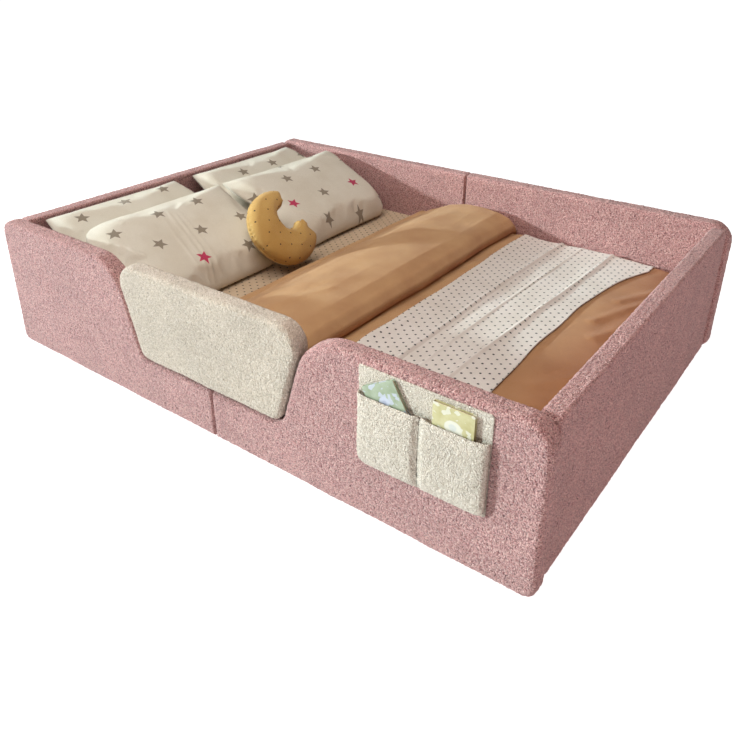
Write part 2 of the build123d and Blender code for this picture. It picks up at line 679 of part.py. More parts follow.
sheet_length = MATTRESS_LENGTH + 2 * SHEET_THICK
sheet_width = MATTRESS_WIDTH + 2 * SHEET_THICK
with BuildPart() as fitted_sheet:
    with BuildSketch(Plane.XY.offset(SLAT_TOP + SHEET_HEM)):
        RectangleRounded(sheet_length, sheet_width, MATTRESS_CORNER_ROUND + SHEET_THICK)
    extrude(amount=MATTRESS_THICK - SHEET_HEM + SHEET_THICK)
    fillet(fitted_sheet.faces().sort_by(Axis.Z)[-1].edges(), radius=MATTRESS_RIM_ROUND + SHEET_THICK)
    add(mattress.part, mode=Mode.SUBTRACT)
keep("fitted_sheet", fitted_sheet, "snow")

BED_FLOOR = SHEET_TOP + SOFT_GAP
DUVET_TOP = BED_FLOOR + DUVET_THICK
DUVET_FOOT = INNER_X - DUVET_FOOT_PLAY
DUVET_WIDTH = 2 * (INNER_Y - DUVET_SIDE_PLAY)
side_plane = Plane(origin=(0, DUVET_WIDTH / 2, 0), x_dir=(1, 0, 0), z_dir=(0, -1, 0))

# side view: a band folded back near the head end, then one layer down to the foot
with BuildPart() as duvet:
    with BuildSketch(side_plane):
        with BuildLine():
            FilletPolyline(
                (DUVET_HEAD, BED_FLOOR),
                (DUVET_FOOT, BED_FLOOR),
                (DUVET_FOOT, DUVET_TOP),
                (FOLD_FOOT, DUVET_TOP),
                (FOLD_FOOT - FOLD_FOOT_RUN, FOLD_TOP - FOLD_FALL),
                (DUVET_HEAD + FOLD_HEAD_RUN, FOLD_TOP),
                (DUVET_HEAD, BED_FLOOR + DUVET_LIP),
                radius=[DUVET_EDGE_ROUND] * 4 + [FOLD_CROWN_ROUND] * 2 + [DUVET_EDGE_ROUND],
                close=True,
            )
        make_face()
    extrude(amount=DUVET_WIDTH)
keep("duvet", duvet, "sandybrown")

with BuildPart() as throw_blanket:
    with BuildSketch(Plane.XY.offset(DUVET_TOP + SOFT_GAP)):
        with Locations(((THROW_HEAD + THROW_FOOT) / 2, 0)):
            RectangleRounded(THROW_FOOT - THROW_HEAD, DUVET_WIDTH, THROW_ROUND)
    extrude(amount=THROW_THICK)
keep("throw_blanket", throw_blanket, "whitesmoke")


# ---------------------------------------------------------------- pillows and moon cushion
def make_pillow(name, centre, pitch):
    """A soft lens-shaped pillow, raised at its head edge by the pitch in degrees."""
    slope = radians(pitch)
    middle = Plane(origin=centre, x_dir=(0, 1, 0), z_dir=(sin(slope), 0, cos(slope)))
    width, length, thick = PILLOW
    with BuildPart() as pillow:
        for layer in range(PILLOW_LAYERS + 1):
            level = 2 * layer / PILLOW_LAYERS - 1
            spread = sqrt(1 - (PILLOW_CROWN * level) ** 2)
            with BuildSketch(middle.offset(level * thick / 2)):
                rim = length * (1 - spread)
                RectangleRounded(width - rim, length - rim, PILLOW_CORNER_ROUND)
        loft(ruled=True)
    keep(name, pillow, "floralwhite")


for hand, y in BACK_PILLOW_YS.items():
    make_pillow(f"pillow_back_{hand}", (BACK_PILLOW[0], y, BACK_PILLOW[1]), BACK_PILLOW_PITCH)
for hand, y in FRONT_PILLOW_YS.items():
    make_pillow(f"pillow_front_{hand}", (FRONT_PILLOW[0], y, FRONT_PILLOW[1]), FRONT_PILLOW_PITCH)

lean = radians(MOON_LEAN)
turn = radians(MOON_TURN)
face_normal = Vector(cos(lean), 0, sin(lean))
opening = Vector(-sin(lean) * sin(turn), cos(turn), cos(lean) * sin(turn))
moon_plane = Plane(origin=MOON_CENTRE, x_dir=opening, z_dir=face_normal)
with BuildPart() as moon_cushion:
    with BuildSketch(moon_plane.offset(-MOON_THICK / 2)):
        Circle(MOON_RADIUS)
        with Locations((MOON_BITE, 0)):
            Circle(MOON_BITE_RADIUS, mode=Mode.SUBTRACT)
    extrude(amount=MOON_THICK)
    fillet(moon_cushion.edges().filter_by(GeomType.LINE), radius=MOON_TIP_ROUND)
    fillet(moon_cushion.faces().filter_by(GeomType.PLANE).edges(), radius=MOON_EDGE_ROUND)
keep("moon_cushion", moon_cushion, "goldenrod")

os.makedirs("parts", exist_ok=True)
for name, part in parts.items():
    export_step(part, f"parts/{name}.step")
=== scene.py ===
"""Looks of the upholstered floor bed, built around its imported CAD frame.

Metres, in the frame's own axes: +X towards the foot wall, +Y towards the back rail, +Z up.
Every soft piece is its own mesh: looped boucle on the walls, guard and pockets, a fitted sheet, a
folded duvet, a throw, four stuffed pillows, a moon cushion and two picture books.
"""

import math

import bpy
import numpy as np
from mathutils import Matrix, Vector


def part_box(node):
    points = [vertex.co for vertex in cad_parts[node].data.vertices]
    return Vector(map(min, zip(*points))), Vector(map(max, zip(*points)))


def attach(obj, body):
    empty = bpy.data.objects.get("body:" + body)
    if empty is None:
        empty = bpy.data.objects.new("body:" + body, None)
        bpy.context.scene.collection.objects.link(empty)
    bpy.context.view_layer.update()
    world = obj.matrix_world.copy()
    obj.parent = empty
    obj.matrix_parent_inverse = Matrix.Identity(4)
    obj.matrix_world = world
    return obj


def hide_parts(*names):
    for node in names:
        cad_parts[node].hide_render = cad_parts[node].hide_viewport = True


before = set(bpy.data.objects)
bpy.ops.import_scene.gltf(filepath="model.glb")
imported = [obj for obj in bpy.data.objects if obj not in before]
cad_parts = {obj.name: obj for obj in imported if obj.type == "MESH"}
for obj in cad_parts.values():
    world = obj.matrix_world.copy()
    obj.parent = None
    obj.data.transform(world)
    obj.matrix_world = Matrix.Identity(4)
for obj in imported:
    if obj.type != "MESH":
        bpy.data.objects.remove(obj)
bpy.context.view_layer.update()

# -------------------- sizes of the looks
LOOP_SPACING = 0.0031  # mesh size of the boucle, about two points per yarn loop
POCKET_SPACING = 0.0026
LOOP_SIZE = 0.0033  # one yarn loop of the boucle
TUFT_SIZE = 0.0046  # a few loops together, as far as the mesh follows them
LOOP_HEIGHT = 0.0023
RAIL_BOTTOM_ROUND = 0.032
RAIL_HEAD_ROUND = 0.045
RAIL_FOOT_ROUND = 0.070
RAIL_RIM = 0.016
SMALL_ROUND = 0.008
WALL_RIM = 0.0075
SEAM_REACH = 0.014  # how far a joint seam pulls the padding in
SEAM_DEPTH = 0.0035

DIP_CENTRE = -0.018
DIP_FLOOR = 0.167
DIP_HALF_WIDTH = 0.288
DIP_FLARE = 0.31
DIP_FLOOR_ROUND = 0.045
DIP_SHOULDER_ROUND = 0.145
GUARD_GAP = 0.006
GUARD_TOP_ROUND = 0.068
GUARD_FLOOR_ROUND = 0.039

PILLOW_WIDTH = 0.655
PILLOW_LENGTH = 0.436
PILLOW_THICK = 0.100
PILLOW_SPACING = 0.0085
FRONT_TAPER = 0.16  # how much narrower a front pillow lies at its lower edge
BACK_TAPER = -0.11  # and a back pillow at its upper edge
BACK_PITCH, FRONT_PITCH = 25, 22.5  # slopes of the pillows, degrees
# creases are (start, end, height, width)
SIDE_CREASES = (
    ((-0.30, 0.02), (-0.16, -0.16), 0.004, 0.012),
    ((0.20, 0.18), (0.31, 0.02), 0.003, 0.010),
)
FRONT_CREASES = (
    ((-0.045, 0.130), (-0.115, -0.190), 0.0016, 0.006),
    ((-0.012, 0.120), (-0.088, -0.200), 0.0026, 0.006),
    ((0.006, 0.100), (-0.066, -0.205), 0.0020, 0.005),
    ((0.030, 0.110), (-0.030, -0.180), 0.0014, 0.007),
    ((-0.30, -0.05), (-0.22, -0.17), 0.008, 0.016),
    ((-0.31, 0.10), (-0.24, -0.02), 0.005, 0.012),
)

MOON_RADIUS = 0.148
MOON_HORNS = (47, 306)  # degrees round the moon's centre, from one horn to the other
MOON_BITE = (0.042, 0.014)
MOON_BITE_RADIUS = 0.050
MOON_BITE_SPAN = (63, 314)
MOON_THICK = 0.074
MOON_GROWTH = 1.015  # how much wider than its outline the blown-up moon is
MOON_CENTRE = (-0.322, -0.073, 0.398)
MOON_LEAN = 39.4  # how far the moon's face points upwards, degrees
MOON_TURN = 18.6  # how far its opening points upwards, degrees

SHEET_DROP = 0.122  # how far the fitted sheet reaches down the mattress
DUVET_FLOOR = 0.2474
DUVET_TOP = 0.2804
DUVET_HEAD = -0.195
DUVET_FOOT = 0.952
DUVET_HALF = 0.685
FOLD_TOP = 0.366
FOLD_FOOT = 0.243
THROW_HEAD = 0.300
THROW_FOOT = 0.712
THROW_FLARE = 0.088  # how much further the throw reaches at the back rail
THROW_THICK = 0.0026
DUVET_CREASES = (
    ((0.94, 0.60), (0.80, 0.30), 0.007, 0.020),
    ((0.94, 0.52), (0.78, 0.12), 0.006, 0.016),
    ((0.95, 0.40), (0.82, 0.02), 0.005, 0.018),
    ((0.94, -0.10), (0.80, -0.32), 0.004, 0.022),
    ((0.28, -0.50), (0.36, -0.10), 0.004, 0.014),
    ((0.27, 0.20), (0.33, 0.55), 0.004, 0.013),
)

THREADS_PER_METRE = 1500.0
DOT_PITCH = (0.040, 0.0325)  # along X and Y; a second grid lies between the dots of the first
MOON_DOT_PITCH = (0.070, 0.058)
STAR_PITCH = (0.195, 0.128)
STAR_RADIUS = 0.029

POCKET_DEPTH = 0.023
BOOK_THICK = 0.010


# -------------------- node materials
def tint(red, green, blue):
    """A linear RGBA colour from the usual 0 to 255 display values."""
    shares = [value / 255 for value in (red, green, blue)]
    linear = [s / 12.92 if s <= 0.04045 else ((s + 0.055) / 1.055) ** 2.4 for s in shares]
    return (*linear, 1.0)


class Wire:
    """A value in a material's node tree; arithmetic on it adds Math nodes."""

    def __init__(self, surface, socket):
        self.surface = surface
        self.socket = socket

    def math(self, operation, *others):
        return self.surface.node("Math", dict(enumerate([self, *others])), operation=operation)

    def __add__(self, other):
        return self.math("ADD", other)

    def __sub__(self, other):
        return self.math("SUBTRACT", other)

    def __mul__(self, other):
        return self.math("MULTIPLY", other)

    def __truediv__(self, other):
        return self.math("DIVIDE", other)

    def below(self, edge, softness):
        """1 where the value is under the edge, 0 above it, with a soft step between."""
        limits = {0: self, 1: edge - softness, 2: edge + softness, 3: 1.0, 4: 0.0}
        return self.surface.node("MapRange", limits, interpolation_type="SMOOTHSTEP")


class Surface:
    """A procedural material round one Principled shader."""

    def __init__(self, name, roughness, **uniform):
        self.material = bpy.data.materials.new(name)
        self.material.use_nodes = True
        self.tree = self.material.node_tree
        self.shader = self.tree.nodes["Principled BSDF"]
        self.shader.inputs["Roughness"].default_value = roughness
        for key, value in uniform.items():
            self.shader.inputs[key.replace("_", " ")].default_value = value
        self.place = self.node("TexCoord", output="Object")

    def node(self, kind, inputs=None, output=0, **settings):
        made = self.tree.nodes.new("ShaderNode" + kind)
        for key, value in settings.items():
            setattr(made, key, value)
        for key, value in (inputs or {}).items():
            self.plug(made.inputs[key], value)
        return Wire(self, made.outputs[output])

    def plug(self, socket, value):
        if isinstance(value, Wire):
            self.tree.links.new(value.socket, socket)
        else:
            socket.default_value = value

    def stretched(self, scale):
        """The piece's own coordinates, scaled."""
        return self.node("Mapping", {"Vector": self.place, "Scale": scale})

    def noise(self, scale, detail=2.0, vector=None):
        inputs = {"Vector": vector or self.place, "Scale": scale, "Detail": detail}
        return self.node("TexNoise", inputs)

    def cells(self, scale, output="Distance", vector=None):
        inputs = {"Vector": vector or self.place, "Scale": scale}
        return self.node("TexVoronoi", inputs, output=output)

    def split(self, vector):
        """The X, Y and Z of a vector as three values."""
        node = self.node("SeparateXYZ", {0: vector})
        return [Wire(self, out) for out in node.socket.node.outputs]

    def blend(self, first, second, factor, mode="MIX"):
        """A colour between two, or their product and so on, by the factor."""
        inputs = {0: factor, 6: first, 7: second}
        return self.node("Mix", inputs, output=2, data_type="RGBA", blend_type=mode)

    def ramp(self, factor, *stops):
        """A colour from the factor, through stops of (position, colour)."""
        wire = self.node("ValToRGB", {0: factor})
        elements = wire.socket.node.color_ramp.elements
        for element, (position, colour) in zip(elements, stops[:2]):
            element.position, element.color = position, colour
        for position, colour in stops[2:]:
            elements.new(position).color = colour
        return wire

    def colour(self, value):
        self.plug(self.shader.inputs["Base Color"], value)

    def bump(self, *layers):
        """Fine relief from layers of (height, size in metres)."""
        normal = None
        for height, size in layers:
            inputs = {"Height": height, "Distance": size, "Strength": 1.0}
            if normal:
                inputs["Normal"] = normal
            normal = self.node("Bump", inputs)
        self.plug(self.shader.inputs["Normal"], normal)


def boucle(name, base, light, dark, gap_shade_colour, depth):
    """Looped yarn: every loop has its own tone, and painted shade darkens the gaps between loops."""
    made = Surface(name, 0.95, Sheen_Weight=0.3, Sheen_Roughness=0.6)
    wander = made.node("TexNoise", {"Vector": made.place, "Scale": 110.0, "Detail": 1.0}, output="Color")
    bend = made.node("VectorMath", {0: wander, "Scale": 0.005}, operation="SCALE")
    bent = made.node("VectorMath", {0: made.place, 1: bend}, operation="ADD")
    scale = 1 / LOOP_SIZE
    loops = made.cells(scale, vector=bent)
    pick = made.split(made.cells(scale, output="Color", vector=bent))[0]
    yarn = made.ramp(pick, (0.0, dark), (0.25, base), (0.65, base), (1.0, light))
    # painted shade: a mask of the gaps between loops, where the dark gap colour is laid in
    gap_shade_mask = made.node("MapRange", {0: loops, 1: 0.45, 2: 0.85, 3: 0.0, 4: 1.0})
    # some random gaps get a second, deeper coat of painted shade
    deeper_gap_shade = made.split(made.cells(scale * 0.55, output="Color"))[1].math("GREATER_THAN", 0.84)
    patchy = made.ramp(made.noise(7.0), (0.35, tint(243, 243, 243)), (0.65, WHITE))
    # painted shade laid into the gaps between loops as strongly as depth, then deeper in some random gaps
    colour = made.blend(yarn, gap_shade_colour, gap_shade_mask * depth)
    colour = made.blend(colour, gap_shade_colour, deeper_gap_shade * gap_shade_mask * depth)
    made.colour(made.blend(colour, patchy, 1.0, "MULTIPLY"))
    made.bump((loops * -1.0, 0.0040), (made.noise(480.0), 0.0014))
    return made.material


def weave(made):
    """Fine plain weave and a little fluff, as relief."""
    inputs = {"Vector": made.place, "Scale": THREADS_PER_METRE / 6.3}
    across = made.node("TexWave", inputs, output="Fac", bands_direction="X")
    along = made.node("TexWave", inputs, output="Fac", bands_direction="Y")
    made.bump((made.noise(60.0, 3.0), 0.0012), (across * along, 0.00045))


def cotton(name, colour, deep):
    """Washed cotton: slightly uneven dye and a fine weave."""
    made = Surface(name, 0.85, Sheen_Weight=0.15, Sheen_Roughness=0.5)
    shade = made.noise(9.0, 3.0)
    threads = made.noise(700.0, 1.0)
    ground = made.ramp(shade, (0.35, deep), (0.65, colour))
    uneven = made.ramp(threads, (0.3, tint(238, 238, 238)), (0.7, WHITE))
    made.ground = made.blend(ground, uneven, 1.0, "MULTIPLY")
    made.colour(made.ground)
    weave(made)
    return made


def dotted(name, colour, deep, dot, pitch, radius):
    """Cotton printed with small dots on a staggered grid, in the piece's own XY and down its sides."""
    made = cotton(name, colour, deep)
    x, y, z = made.split(made.place)
    facing_x, facing_y, _ = made.split(made.node("TexCoord", output="Normal"))
    x = x + z * facing_x.math("ABSOLUTE").math("GREATER_THAN", 0.7)
    y = y + z * facing_y.math("ABSOLUTE").math("GREATER_THAN", 0.7)
    nearest = None
    for shift in (0.0, 0.5):
        offsets = []
        for axis, step in zip((x, y), pitch):
            cell = ((axis / step + shift).math("FRACT") - 0.5) * step
            offsets.append(cell * cell)
        distance = (offsets[0] + offsets[1]).math("SQRT")
        nearest = distance if nearest is None else nearest.math("MINIMUM", distance)
    made.colour(made.blend(made.ground, dot, nearest.below(radius, 0.0005)))
    return made.material


def caramel():
    """Caramel cotton, darkened towards the foot wall by painted shade."""
    made = cotton("caramel_cotton", tint(198, 154, 105), tint(186, 140, 93))
    x, _, _ = made.split(made.place)
    painted_foot_shade = made.node("MapRange", {0: x, 1: 0.62, 2: 0.94, 3: 0.0, 4: 1.0})
    # painted shade: the caramel is multiplied darker and redder towards the foot wall
    made.colour(made.blend(made.ground, tint(218, 178, 160), painted_foot_shade, "MULTIPLY"))
    return made.material


def starry(name, shift, first_red):
    """Cotton printed with staggered rows of five-pointed stars, every sixth one red."""
    made = cotton(f"star_cotton_{name}", tint(227, 221, 204), tint(219, 211, 192))
    grey, red = tint(140, 128, 110), tint(186, 44, 84)
    pitch, radius = STAR_PITCH, STAR_RADIUS
    x, y, _ = made.split(made.node("Mapping", {"Vector": made.place, "Location": shift}))
    down = y / pitch[1]
    row = down.math("FLOOR")
    along = x / pitch[0] + (row * 0.5).math("FRACT")
    column = along.math("FLOOR")
    cell = made.node("CombineXYZ", {0: column, 1: row})
    stray = made.node("TexWhiteNoise", {"Vector": cell}, output="Color", noise_dimensions="2D")
    stray_x, stray_y, turn = made.split(stray)
    x = (along - column - 0.5) * pitch[0] + (stray_x - 0.5) * radius
    y = (down - row - 0.5) * pitch[1] + (stray_y - 0.5) * radius
    reach = (x * x + y * y).math("SQRT")
    point = 2 * math.pi / 5
    angle = x.math("ARCTAN2", y) + turn * 6.0 + 20.0
    folded = (angle.math("MODULO", point) - point / 2).math("ABSOLUTE")
    inner = 0.45  # of the radius, where two points of the star meet
    # the straight side of a star point runs from its tip to the notch beside it
    tip = Vector((math.cos(point / 2), math.sin(point / 2))) * radius
    notch = Vector((inner * radius, 0.0))
    side = (notch - tip).normalized()
    outward = Vector((-side.y, side.x)) * (1 if (-side.y * tip.x + side.x * tip.y) > 0 else -1)
    height = outward.dot(tip)
    across = reach * folded.math("COSINE") * outward.x + reach * folded.math("SINE") * outward.y
    mask = across.below(height, 0.0006)
    order = ((column * 3.0 + row * 2.0 + first_red + 0.5) / 6.0).math("FRACT")
    star = made.blend(red, grey, order.math("GREATER_THAN", 1 / 6))
    made.colour(made.blend(made.ground, star, mask))
    return made.material


def wood(name, colour, deep, along, layered=False):
    """Sawn timber with grain along one axis; plywood also shows its glued layers."""
    made = Surface(name, 0.62)
    scale = [90.0, 90.0, 90.0]
    scale["XYZ".index(along)] = 3.0
    grain = made.noise(1.0, 6.0, vector=made.stretched(tuple(scale)))
    broad = made.noise(2.5, 3.0, vector=made.stretched(tuple(s / 25 for s in scale)))
    colour = made.ramp(grain * 0.6 + broad * 0.4, (0.35, deep), (0.62, colour))
    if layered:
        plies = made.node("TexWave", {"Vector": made.place, "Scale": 60.0}, output="Fac", bands_direction="Y")
        colour = made.blend(colour, deep, plies.math("GREATER_THAN", 0.7) * 0.35)
    made.colour(colour)
    made.bump((grain, 0.0004))
    return made.material


def plain(name, colour, deep, roughness, grain_scale, grain_size, **uniform):
    """Steel or plastic: a fine uneven surface with a slightly varied colour and gloss."""
    made = Surface(name, roughness, **uniform)
    cloudy = made.noise(25.0, 4.0)
    made.colour(made.ramp(cloudy, (0.3, deep), (0.7, colour)))
    made.plug(made.shader.inputs["Roughness"], cloudy * 0.2 + (roughness - 0.1))
    made.bump((made.noise(grain_scale, 2.0), grain_size))
    return made.material


def picture(name, ground, leaf, round_shape, accent, spot, reach):
    """A child's picture: leafy ground, one pale round shape and a band of another colour."""
    made = Surface(name, 0.42, Coat_Weight=0.25, Coat_Roughness=0.35)
    x, _, z = made.split(made.place)
    leaves = made.split(made.cells(95.0, output="Color"))[0]
    washes = made.noise(38.0, 3.0)
    colour = made.ramp(washes, (0.35, ground), (0.65, leaf))
    colour = made.blend(colour, round_shape, leaves.math("GREATER_THAN", 0.80) * 0.8)
    from_x, from_z = x - spot[0], z - spot[1]
    distance = (from_x * from_x + from_z * from_z * 1.6).math("SQRT") + washes * 0.012
    colour = made.blend(colour, round_shape, distance.below(reach, 0.002))
    colour = made.blend(colour, accent, distance.below(reach * 0.55, 0.003) * 0.7)
    edge = (z + washes * 0.01).below(spot[1] - reach * 1.1, 0.002)
    made.colour(made.blend(colour, accent, edge * 0.6))
    made.bump((made.noise(900.0), 0.00006))
    return made.material


def page_edges(name):
    """The stacked edges of many thin pages."""
    made = Surface(name, 0.8)
    stripes = made.node("TexWave", {"Vector": made.place, "Scale": 320.0}, output="Fac", bands_direction="Y")
    made.colour(made.ramp(stripes, (0.1, tint(150, 132, 106)), (0.6, tint(206, 192, 166))))
    made.bump((stripes, 0.0002))
    return made.material


WHITE = tint(255, 255, 255)
# each boucle's fourth colour is painted shade for the gaps between its loops, and the last number is how
# strongly it is laid in
PINK = boucle(
    "boucle_pink", tint(214, 158, 153), tint(243, 199, 191), tint(180, 114, 112), tint(92, 34, 40), 0.72
)
CREAM = boucle(
    "boucle_cream", tint(222, 205, 185), tint(242, 229, 214), tint(200, 183, 161), tint(138, 114, 88), 0.42
)
POCKET_CREAM = boucle(
    "boucle_pale_cream",
    tint(230, 216, 198),
    tint(248, 236, 222),
    tint(210, 194, 174),
    tint(150, 128, 100),
    0.36,
)
CARAMEL = caramel()
SAND_DOTS = dotted(
    "sand_dotted_cotton", tint(206, 182, 152), tint(196, 171, 140), tint(36, 26, 20), DOT_PITCH, 0.0033
)
DOTS = dotted(
    "dotted_cotton", tint(236, 229, 221), tint(228, 220, 210), tint(20, 16, 16), DOT_PITCH, 0.0035
)
STARS = {
    name: starry(name, shift, first_red)
    for name, shift, first_red in (
        ("pillow_back_left", (0.020, 0.050, 0), 2),
        ("pillow_back_right", (0.120, 0.095, 0), 2),
        ("pillow_front_left", (0.0575, 0.070, 0), 2),
        ("pillow_front_right", (0.1075, 0.114, 0), 3),
    )
}
MUSTARD = dotted(
    "mustard_cotton", tint(205, 165, 92), tint(197, 154, 80), tint(38, 30, 24), MOON_DOT_PITCH, 0.0027
)
TICKING = cotton("mattress_ticking", tint(232, 230, 222), tint(222, 219, 210)).material
PLY = wood("plywood", tint(214, 184, 140), tint(188, 150, 104), "X", layered=True)
PINE_X = wood("pine_long", tint(226, 196, 148), tint(198, 156, 104), "X")
PINE_Y = wood("pine_cross", tint(228, 198, 150), tint(200, 158, 106), "Y")
STEEL = plain("plated_steel", tint(196, 198, 202), tint(172, 174, 180), 0.34, 900.0, 0.0001, Metallic=1.0)
FASTENER = plain(
    "fastener_steel", tint(150, 152, 158), tint(120, 122, 128), 0.38, 900.0, 0.0001, Metallic=1.0
)
PLASTIC = plain("black_plastic", tint(40, 40, 42), tint(30, 30, 32), 0.5, 1200.0, 0.0002)
PAGES = page_edges("page_edges")
ART_LEFT = picture(
    "picture_left",
    tint(136, 148, 120),
    tint(158, 168, 144),
    tint(184, 188, 202),
    tint(160, 164, 184),
    spot=(0.0, 0.02),
    reach=0.022,
)
ART_RIGHT = picture(
    "picture_right",
    tint(176, 166, 114),
    tint(194, 186, 142),
    tint(212, 208, 192),
    tint(190, 194, 190),
    spot=(0.0, 0.03),
    reach=0.028,
)
WEBBING = cotton("webbing", tint(150, 148, 142), tint(132, 130, 124)).material


# -------------------- mesh helpers
def placed(name, data):
    """A new object in the scene."""
    made = bpy.data.objects.new(name, data)
    bpy.context.scene.collection.objects.link(made)
    return made


def piece(name, vertices, faces, material, body, replaced=()):
    """A new smooth mesh piece that rides on a body and stands for CAD nodes."""
    mesh = bpy.data.meshes.new(name)
    mesh.from_pydata([tuple(v) for v in vertices], [], faces)
    mesh.validate()
    made = placed(name, mesh)
    made.data.materials.append(material)
    finish_mesh(made)
    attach(made, body)
    if replaced:
        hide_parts(*replaced)
    return made


def finish_mesh(made):
    """Shades every face smooth."""
    made.data.update()
    made.data.polygons.foreach_set("use_smooth", [True] * len(made.data.polygons))


def settle(made):
    """Replaces a piece's mesh with the result of its modifiers."""
    bpy.context.view_layer.update()
    graph = bpy.context.evaluated_depsgraph_get()
    mesh = bpy.data.meshes.new_from_object(made.evaluated_get(graph))
    made.modifiers.clear()
    made.data = mesh
    finish_mesh(made)


def places(made, kind="co"):
    """The points of a mesh as an array, or their normals."""
    values = np.zeros(len(made.data.vertices) * 3)
    made.data.vertices.foreach_get(kind, values)
    return values.reshape(-1, 3)


def normals(made):
    return places(made, "normal")


def remeshed(made, spacing):
    """Gives a closed piece an even mesh."""
    remesh = made.modifiers.new("even", "REMESH")
    remesh.mode = "VOXEL"
    remesh.voxel_size = spacing
    settle(made)


def refined(made):
    """Halves the mesh size of a piece, smoothly."""
    smooth = made.modifiers.new("fine", "SUBSURF")
    smooth.levels = smooth.render_levels = 1
    settle(made)


def move_to(made, points):
    made.data.vertices.foreach_set("co", points.astype(np.float32).ravel())
    made.data.update()


def rounded(corners, step=0.004):
    """Points of a closed outline through corners (x, y, radius), with an arc at each."""
    points = []
    for index, (x, y, radius) in enumerate(corners):
        here = Vector((x, y))
        before = (Vector(corners[index - 1][:2]) - here).normalized()
        after = (Vector(corners[(index + 1) % len(corners)][:2]) - here).normalized()
        half = before.angle(after) / 2
        reach = radius / math.tan(half)
        centre = here + (before + after).normalized() * radius / math.sin(half)
        first = here + before * reach - centre
        last = here + after * reach - centre
        start = math.atan2(first.y, first.x)
        sweep = (math.atan2(last.y, last.x) - start + math.pi) % (2 * math.pi) - math.pi
        count = max(2, int(abs(sweep) * radius / step) + 1)
        for turn in np.linspace(start, start + sweep, count + 1):
            points.append(centre + Vector((math.cos(turn), math.sin(turn))) * radius)
    return np.array(points)


def rectangle(x0, y0, x1, y1, radius, step=0.004):
    """Points of a rectangle with rounded corners, counterclockwise."""
    return rounded([(x0, y0, radius), (x1, y0, radius), (x1, y1, radius), (x0, y1, radius)], step)


def evened(outline, count):
    """Distances along a closed outline at even steps, and its points there."""
    closed = np.vstack([outline, outline[:1]])
    spots = np.concatenate([[0], np.cumsum(np.linalg.norm(np.diff(closed, axis=0), axis=1))])
    even = np.linspace(0, spots[-1], count, endpoint=False)
    return even, np.column_stack([np.interp(even, spots, closed[:, axis]) for axis in (0, 1)])


def towards_back(y):
    """Stands a slab's outline in XZ, its front face at a Y and its depth towards +Y."""
    return lambda a, b, depth: (a, y + depth, b)


def ring_faces(count, rings):
    """Quads between neighbouring closed rings of points."""
    faces = []
    for low in range(0, (rings - 1) * count, count):
        for i in range(count):
            j = (i + 1) % count
            faces.append((low + i, low + j, low + count + j, low + count + i))
    return faces


def slab(outline, thickness, rim, stand):
    """A closed slab over a counterclockwise outline, its rims rounded.

    stand(a, b, depth) turns outline coordinates and depth into a point."""
    ahead = np.roll(outline, -1, axis=0) - np.roll(outline, 1, axis=0)
    ahead /= np.linalg.norm(ahead, axis=1)[:, None]
    inward = np.column_stack([-ahead[:, 1], ahead[:, 0]])
    turns = np.linspace(0, math.pi / 2, 6)
    rings = [(rim * (1 - math.sin(t)), rim * (1 - math.cos(t))) for t in turns]
    rings += [(inset, thickness - depth) for inset, depth in reversed(rings)]
    vertices, count = [], len(outline)
    for inset, depth in rings:
        vertices += [stand(a, b, depth) for a, b in outline + inward * inset]
    faces = ring_faces(count, len(rings))
    faces.append(tuple(reversed(range(count))))
    faces.append(tuple(range(len(vertices) - count, len(vertices))))
    return vertices, faces


def lattice(cells, seed):
    """A repeatable random number from 0 to 1 for each whole-numbered cell."""
    mixed = cells[:, 0] * 73856093 ^ cells[:, 1] * 19349663 ^ cells[:, 2] * 83492791 ^ seed * 2654435
    mixed = (mixed ^ (mixed >> 13)) * 1274126177 & 0xFFFFFFFF
    mixed = (mixed ^ (mixed >> 16)) * 2246822519 & 0xFFFFFFFF
    return ((mixed ^ (mixed >> 15)) & 0xFFFFFF) / 0xFFFFFF


def grain(points, size, seed=1):
    """Smooth noise from -1 to 1 at each point, with bumps of about the size."""
    scaled = points / size
    whole = np.floor(scaled).astype(np.int64)
    share = scaled - whole
    share = share * share * (3 - 2 * share)
    total = np.zeros(len(points))
    for corner in np.ndindex(2, 2, 2):
        weight = np.prod(np.where(corner, share, 1 - share), axis=1)
        total += weight * lattice(whole + np.array(corner), seed)
    return total * 2 - 1


def looped(made, spacing, height=LOOP_HEIGHT):
    """Remeshes a padded piece evenly and raises the boucle's loops on it."""
    remeshed(made, spacing)
    raise_loops(made, height)


def raise_loops(made, height):
    """Moves a piece's points out and in by the boucle's loops, mostly in."""
    points = places(made)
    tufts = 1 - 2 * np.abs(grain(points, TUFT_SIZE * 1.2, 2))
    rise = 0.5 * height * (tufts + grain(points, TUFT_SIZE, 3)) - 0.25 * height
    rise += 0.0012 * grain(points, 0.11, 4)
    move_to(made, points + normals(made) * rise[:, None])


def pull_seam(made, axis, place):
    """Draws the padding in along a joint seam that lies at a place on an axis."""
    points = places(made)
    facing = normals(made)
    near = np.clip(1 - np.abs(points[:, axis] - place) / SEAM_REACH, 0, 1)
    facing[:, axis] = 0
    move_to(made, points - facing * (SEAM_DEPTH * near**2)[:, None])


# -------------------- padded walls and guard
def dip_edge(height, side):
    """X of the dip's sloping edge at a height, on the left (-1) or right (1)."""
    return DIP_CENTRE + side * (DIP_HALF_WIDTH + DIP_FLARE * (height - DIP_FLOOR))


